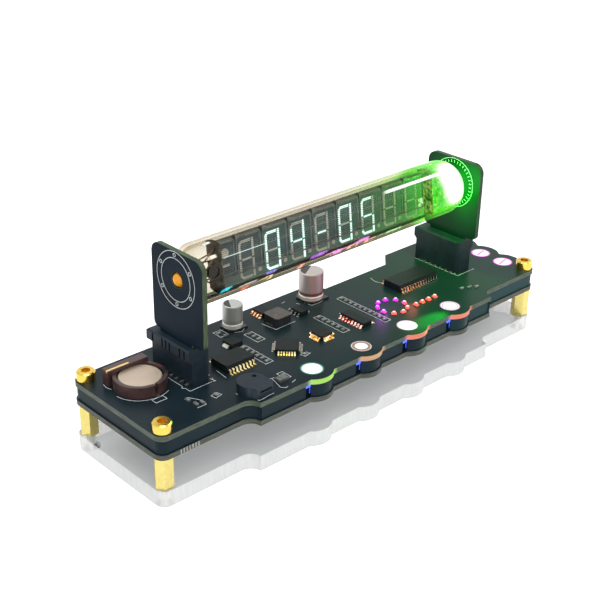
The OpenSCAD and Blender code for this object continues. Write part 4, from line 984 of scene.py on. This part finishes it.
# %% Print the deck
INK_WIDE = 0.17
ink = finish("white_ink", (0.62, 0.66, 0.64), rough=0.6, vary=0.12, grain=900, bump=0.05)
print_shape = bmesh.new()
for chain in CHAINS:
    ribbon(print_shape, [at(x, y) for x, y in chain], INK_WIDE)
for (x0, y0), (x1, y1) in BRACKETS:
    ribbon(print_shape, [at(x0, y0), at(x1, y0), at(x1, y1), at(x0, y1)], INK_WIDE, closed=True)
turns = [math.radians(a) for a in CELL_ARC]
ribbon(print_shape, [at(CELL_MIDDLE[0] + CELL_ARC_R * math.cos(turn),
                        CELL_MIDDLE[1] + CELL_ARC_R * math.sin(turn)) for turn in turns], INK_WIDE)
for k in range(SOCKET_TICKS):
    ribbon(print_shape, [at(x, FIRST_TICK_Y + TICK_GAP * k) for x in SOCKET_TICK_X], INK_WIDE)
deck_print = piece("deck_print", print_shape, ink, "stand")
print("deck print has", len(deck_print.data.polygons), "faces")

# %% Rings on the upright boards
RING_RADII, RING_WIDE = (8.4, 6.4), 0.2
HOLES, HOLE_CIRCLE, HOLE_R, FIRST_HOLE = 6, 7.35, 0.5, 28
TICKS, TICK_IN, TICK_OUT, TICK_WIDE = 36, 6.9, 7.8, 0.16
left_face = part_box("left_post")[0].x
right_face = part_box("right_post")[0].x


def way_round(turn):
    return Y * math.cos(turn) + Z * math.sin(turn)


ring_shape = bmesh.new()
left_centre = Vector((left_face, TUBE_AXIS.y + 0.5 * MM, TUBE_AXIS.z))
for radius in RING_RADII:
    ribbon(ring_shape, ring_points(left_centre, radius, Y, Z), RING_WIDE, closed=True, out=-X)
for k in range(HOLES):
    spot = left_centre + way_round(math.radians(360 / HOLES * k + FIRST_HOLE)) * HOLE_CIRCLE * MM
    ribbon(ring_shape, ring_points(spot, HOLE_R, Y, Z, 16), RING_WIDE, closed=True, out=-X)
left_rings = piece("left_post_rings", ring_shape, ink, "display")

tick_shape = bmesh.new()
right_centre = Vector((right_face, TUBE_AXIS.y, TUBE_AXIS.z))
ribbon(tick_shape, ring_points(right_centre, RING_RADII[0], Y, Z), TICK_WIDE, closed=True, out=-X)
for k in range(TICKS):
    way = way_round(math.tau * k / TICKS)
    tick = [right_centre + way * reach * MM for reach in (TICK_IN, TICK_OUT)]
    ribbon(tick_shape, tick, TICK_WIDE, out=-X)
right_ticks = piece("right_post_ticks", tick_shape, ink, "display")
print("rings on the posts:", len(left_rings.data.polygons) + len(right_ticks.data.polygons), "faces")

# %% [markdown]
# ## Lit rims of the touch pads
# Each pad is a translucent disc in an open ring of the mask. Light leaks round it and tints the
# rim: teal, tan, white and pink along the front, magenta at the end. A lamp under each disc would
# do it slowly, so a flat ring with its own light lies round each one. A thin blue line under each
# blue lamp is its light in the slot there.

# %% Pad rims
RIM_LIGHT = 0.95
RIMS = [("teal_rim", PADS[0], 3.35, 0.35, (0.0, 0.24, 0.16)),
        ("tan_rim", PADS[1], 2.42, 0.85, (0.32, 0.2, 0.145)),
        ("pink_tan_rim", PADS[1], 3.0, 0.25, (0.8, 0.6, 0.62)),
        ("pale_rim", PADS[2], 3.15, 0.3, (0.6, 0.45, 0.55)),
        ("violet_rim", PADS[3], 3.1, 0.3, (0.75, 0.3, 0.7)),
        ("inner_violet_rim", PADS[3], 2.5, 0.22, (0.5, 0.25, 0.45))]
for k, spot in enumerate(END_PADS):
    RIMS.append((f"magenta_rim_{k + 1}", spot, 3.1, 0.45, (0.8, 0.12, 0.75)))
for name, (x, y), radius, width, colour in RIMS:
    shape = bmesh.new()
    ribbon(shape, ring_points(at(x, y), radius, X, Y), width, closed=True)
    unlit = tuple(c * 0.2 for c in colour)
    piece(name, shape, glowing(name, unlit, colour, RIM_LIGHT), "stand")
print("pad rims:", len(RIMS))

# %% Marks on the end pads and light in the slots
END_MARK = [(-2.3, -0.5), (0, 0.1), (2.3, 0.5)]
SLOT_X, SLOT_Y, SLOT_TOP, SLOT_BOTTOM = -4.75, -6.4, 19.9, 17.9
slash_shape = bmesh.new()
for x, y in END_PADS:
    ribbon(slash_shape, [at(x + along, y + across, DECK + INK_RISE) for along, across in END_MARK], 0.6)
mark_light = glowing("magenta_mark", (0.6, 0.1, 0.5), (0.6, 0.15, 0.5), 0.7)
piece("end_pad_marks", slash_shape, mark_light, "stand")
stem_shape = bmesh.new()
for x, _ in PADS:
    ribbon(stem_shape, [at(x + SLOT_X, SLOT_Y, z) for z in (SLOT_TOP, SLOT_BOTTOM)], 0.34, out=-Y)
stem_light = glowing("blue_stem", (0.0, 0.02, 0.3), (0.01, 0.05, 0.9), 1.0)
piece("blue_stems", stem_shape, stem_light, "stand")
print("marks:", len(END_PADS), "blue stems:", len(PADS))

# %% [markdown]
# ## Marks on the capacitor tops
# A surface-mount capacitor has a black half moon on its lid for its minus side. It could be cut
# out of a cylinder, but a disc segment is quicker: a row of points along the arc, closed by its
# chord, and the same row a little higher.

# %% Half moons
MOON_REACH, MOON_STEP = 72, 6
LID_SHARE = 0.86


def half_moon(name, node, turn):
    low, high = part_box(node)
    centre = Vector(((low.x + high.x) / 2, (low.y + high.y) / 2, high.z))
    radius = (high.x - low.x) / 2 * LID_SHARE
    shape = bmesh.new()
    edge = [centre + Matrix.Rotation(math.radians(turn + a), 3, "Z") @ X * radius
            for a in range(-MOON_REACH, MOON_REACH + 1, MOON_STEP)]
    lid_row = [shape.verts.new(p) for p in edge]
    top_row = [shape.verts.new(p + Z * INK_RISE * MM) for p in edge]
    shape.faces.new(top_row)
    shape.faces.new(list(reversed(lid_row)))
    for k in range(len(edge)):
        after = (k + 1) % len(edge)
        shape.faces.new((lid_row[k], lid_row[after], top_row[after], top_row[k]))
    black = finish(name + "_ink", (0.006, 0.006, 0.007), rough=0.4)
    return piece(name, shape, black, "stand")


half_moon("small_can_mark", "small_capacitor_can", 150)
half_moon("large_can_mark", "large_capacitor_can", 120)
print("half moons span", 2 * MOON_REACH, "degrees")

# %% [markdown]
# ## Painted halo round the lit bars
# Each glowing bar has a thin teal halo of its own light round it, and this halo is painted as a
# glowing border. Drawing it anew might leave it off its bar. So the lit bars' own mesh is copied and
# grown sideways by a fraction of a millimetre, and pressed flatter, to lie just behind the bright face.

# %% Painted teal halos of the lit bars
HALO_WIDE, HALO_BACK = 0.3, 0.06


def phosphor_halo():
    shape = bmesh.new()
    shape.from_mesh(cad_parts["lit_segments"].data)
    bmesh.ops.remove_doubles(shape, verts=shape.verts, dist=1e-6)
    bmesh.ops.recalc_face_normals(shape, faces=shape.faces)
    for vert in shape.verts:
        sideways = Vector((vert.normal.x, 0, vert.normal.z))
        if sideways.length > 0:
            vert.co += sideways.normalized() * HALO_WIDE * MM
        if vert.normal.y < 0:
            vert.co += Y * HALO_BACK * MM
    teal = glowing("teal_halo", (0.0, 0.14, 0.1), (0.0, 0.26, 0.19), 0.9)
    return piece("phosphor_halo", shape, teal, "display")


halo = phosphor_halo()
print("fringe faces:", len(halo.data.polygons))

# %% [markdown]
# ## Light from the clock's own lamps
# The lamps of the clock throw real coloured light on what stands round them. The glowing surfaces
# alone would light the deck too weakly and with much noise. So a small lamp is set at each: strong
# green in the tube's right end, violet and coral at the ring, and blue at the roots of the bumps.
# The glossy mask then shows their reflections without any painting.

# %% Coloured lamps
def glow_lamp(name, place, colour, power, radius=0.002):
    lamp = new_lamp(name, "POINT", place, power, colour)
    lamp.data.shadow_soft_size = radius
    return lamp


green_end = glow_lamp("green_end", Vector((right_face, TUBE_AXIS.y, TUBE_AXIS.z)) - Vector((6, 4, 0)) * MM,
                      (0.01, 1, 0.03), 0.036, 0.003)
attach(green_end, "display")
glow_lamp("ring_violet", at(95.5, 10.5, DECK + 3), (0.7, 0.1, 1), 0.0012)
glow_lamp("ring_coral", at(107, 8, DECK + 3), (1, 0.2, 0.12), 0.001)
for k, (x, _) in enumerate(PADS):
    glow_lamp(f"root_blue_{k + 1}", at(x - 4.8, -7.6, DECK - 1.8), (0.02, 0.08, 1), 0.00006, 0.0004)

# %% Green beam on the deck
BEAM_FROM, BEAM_TO = at(131, -3, 37), at(101.5, -5.0)
beam = new_lamp("green_beam", "SPOT", BEAM_FROM, 0.85, (0.05, 1, 0.08), aim=BEAM_TO)
beam.data.spot_size = math.radians(15)
beam.data.spot_blend = 0.8
beam.data.shadow_soft_size = 0.001
print("beam reaches", round((BEAM_TO - BEAM_FROM).length / MM, 1), "mm")
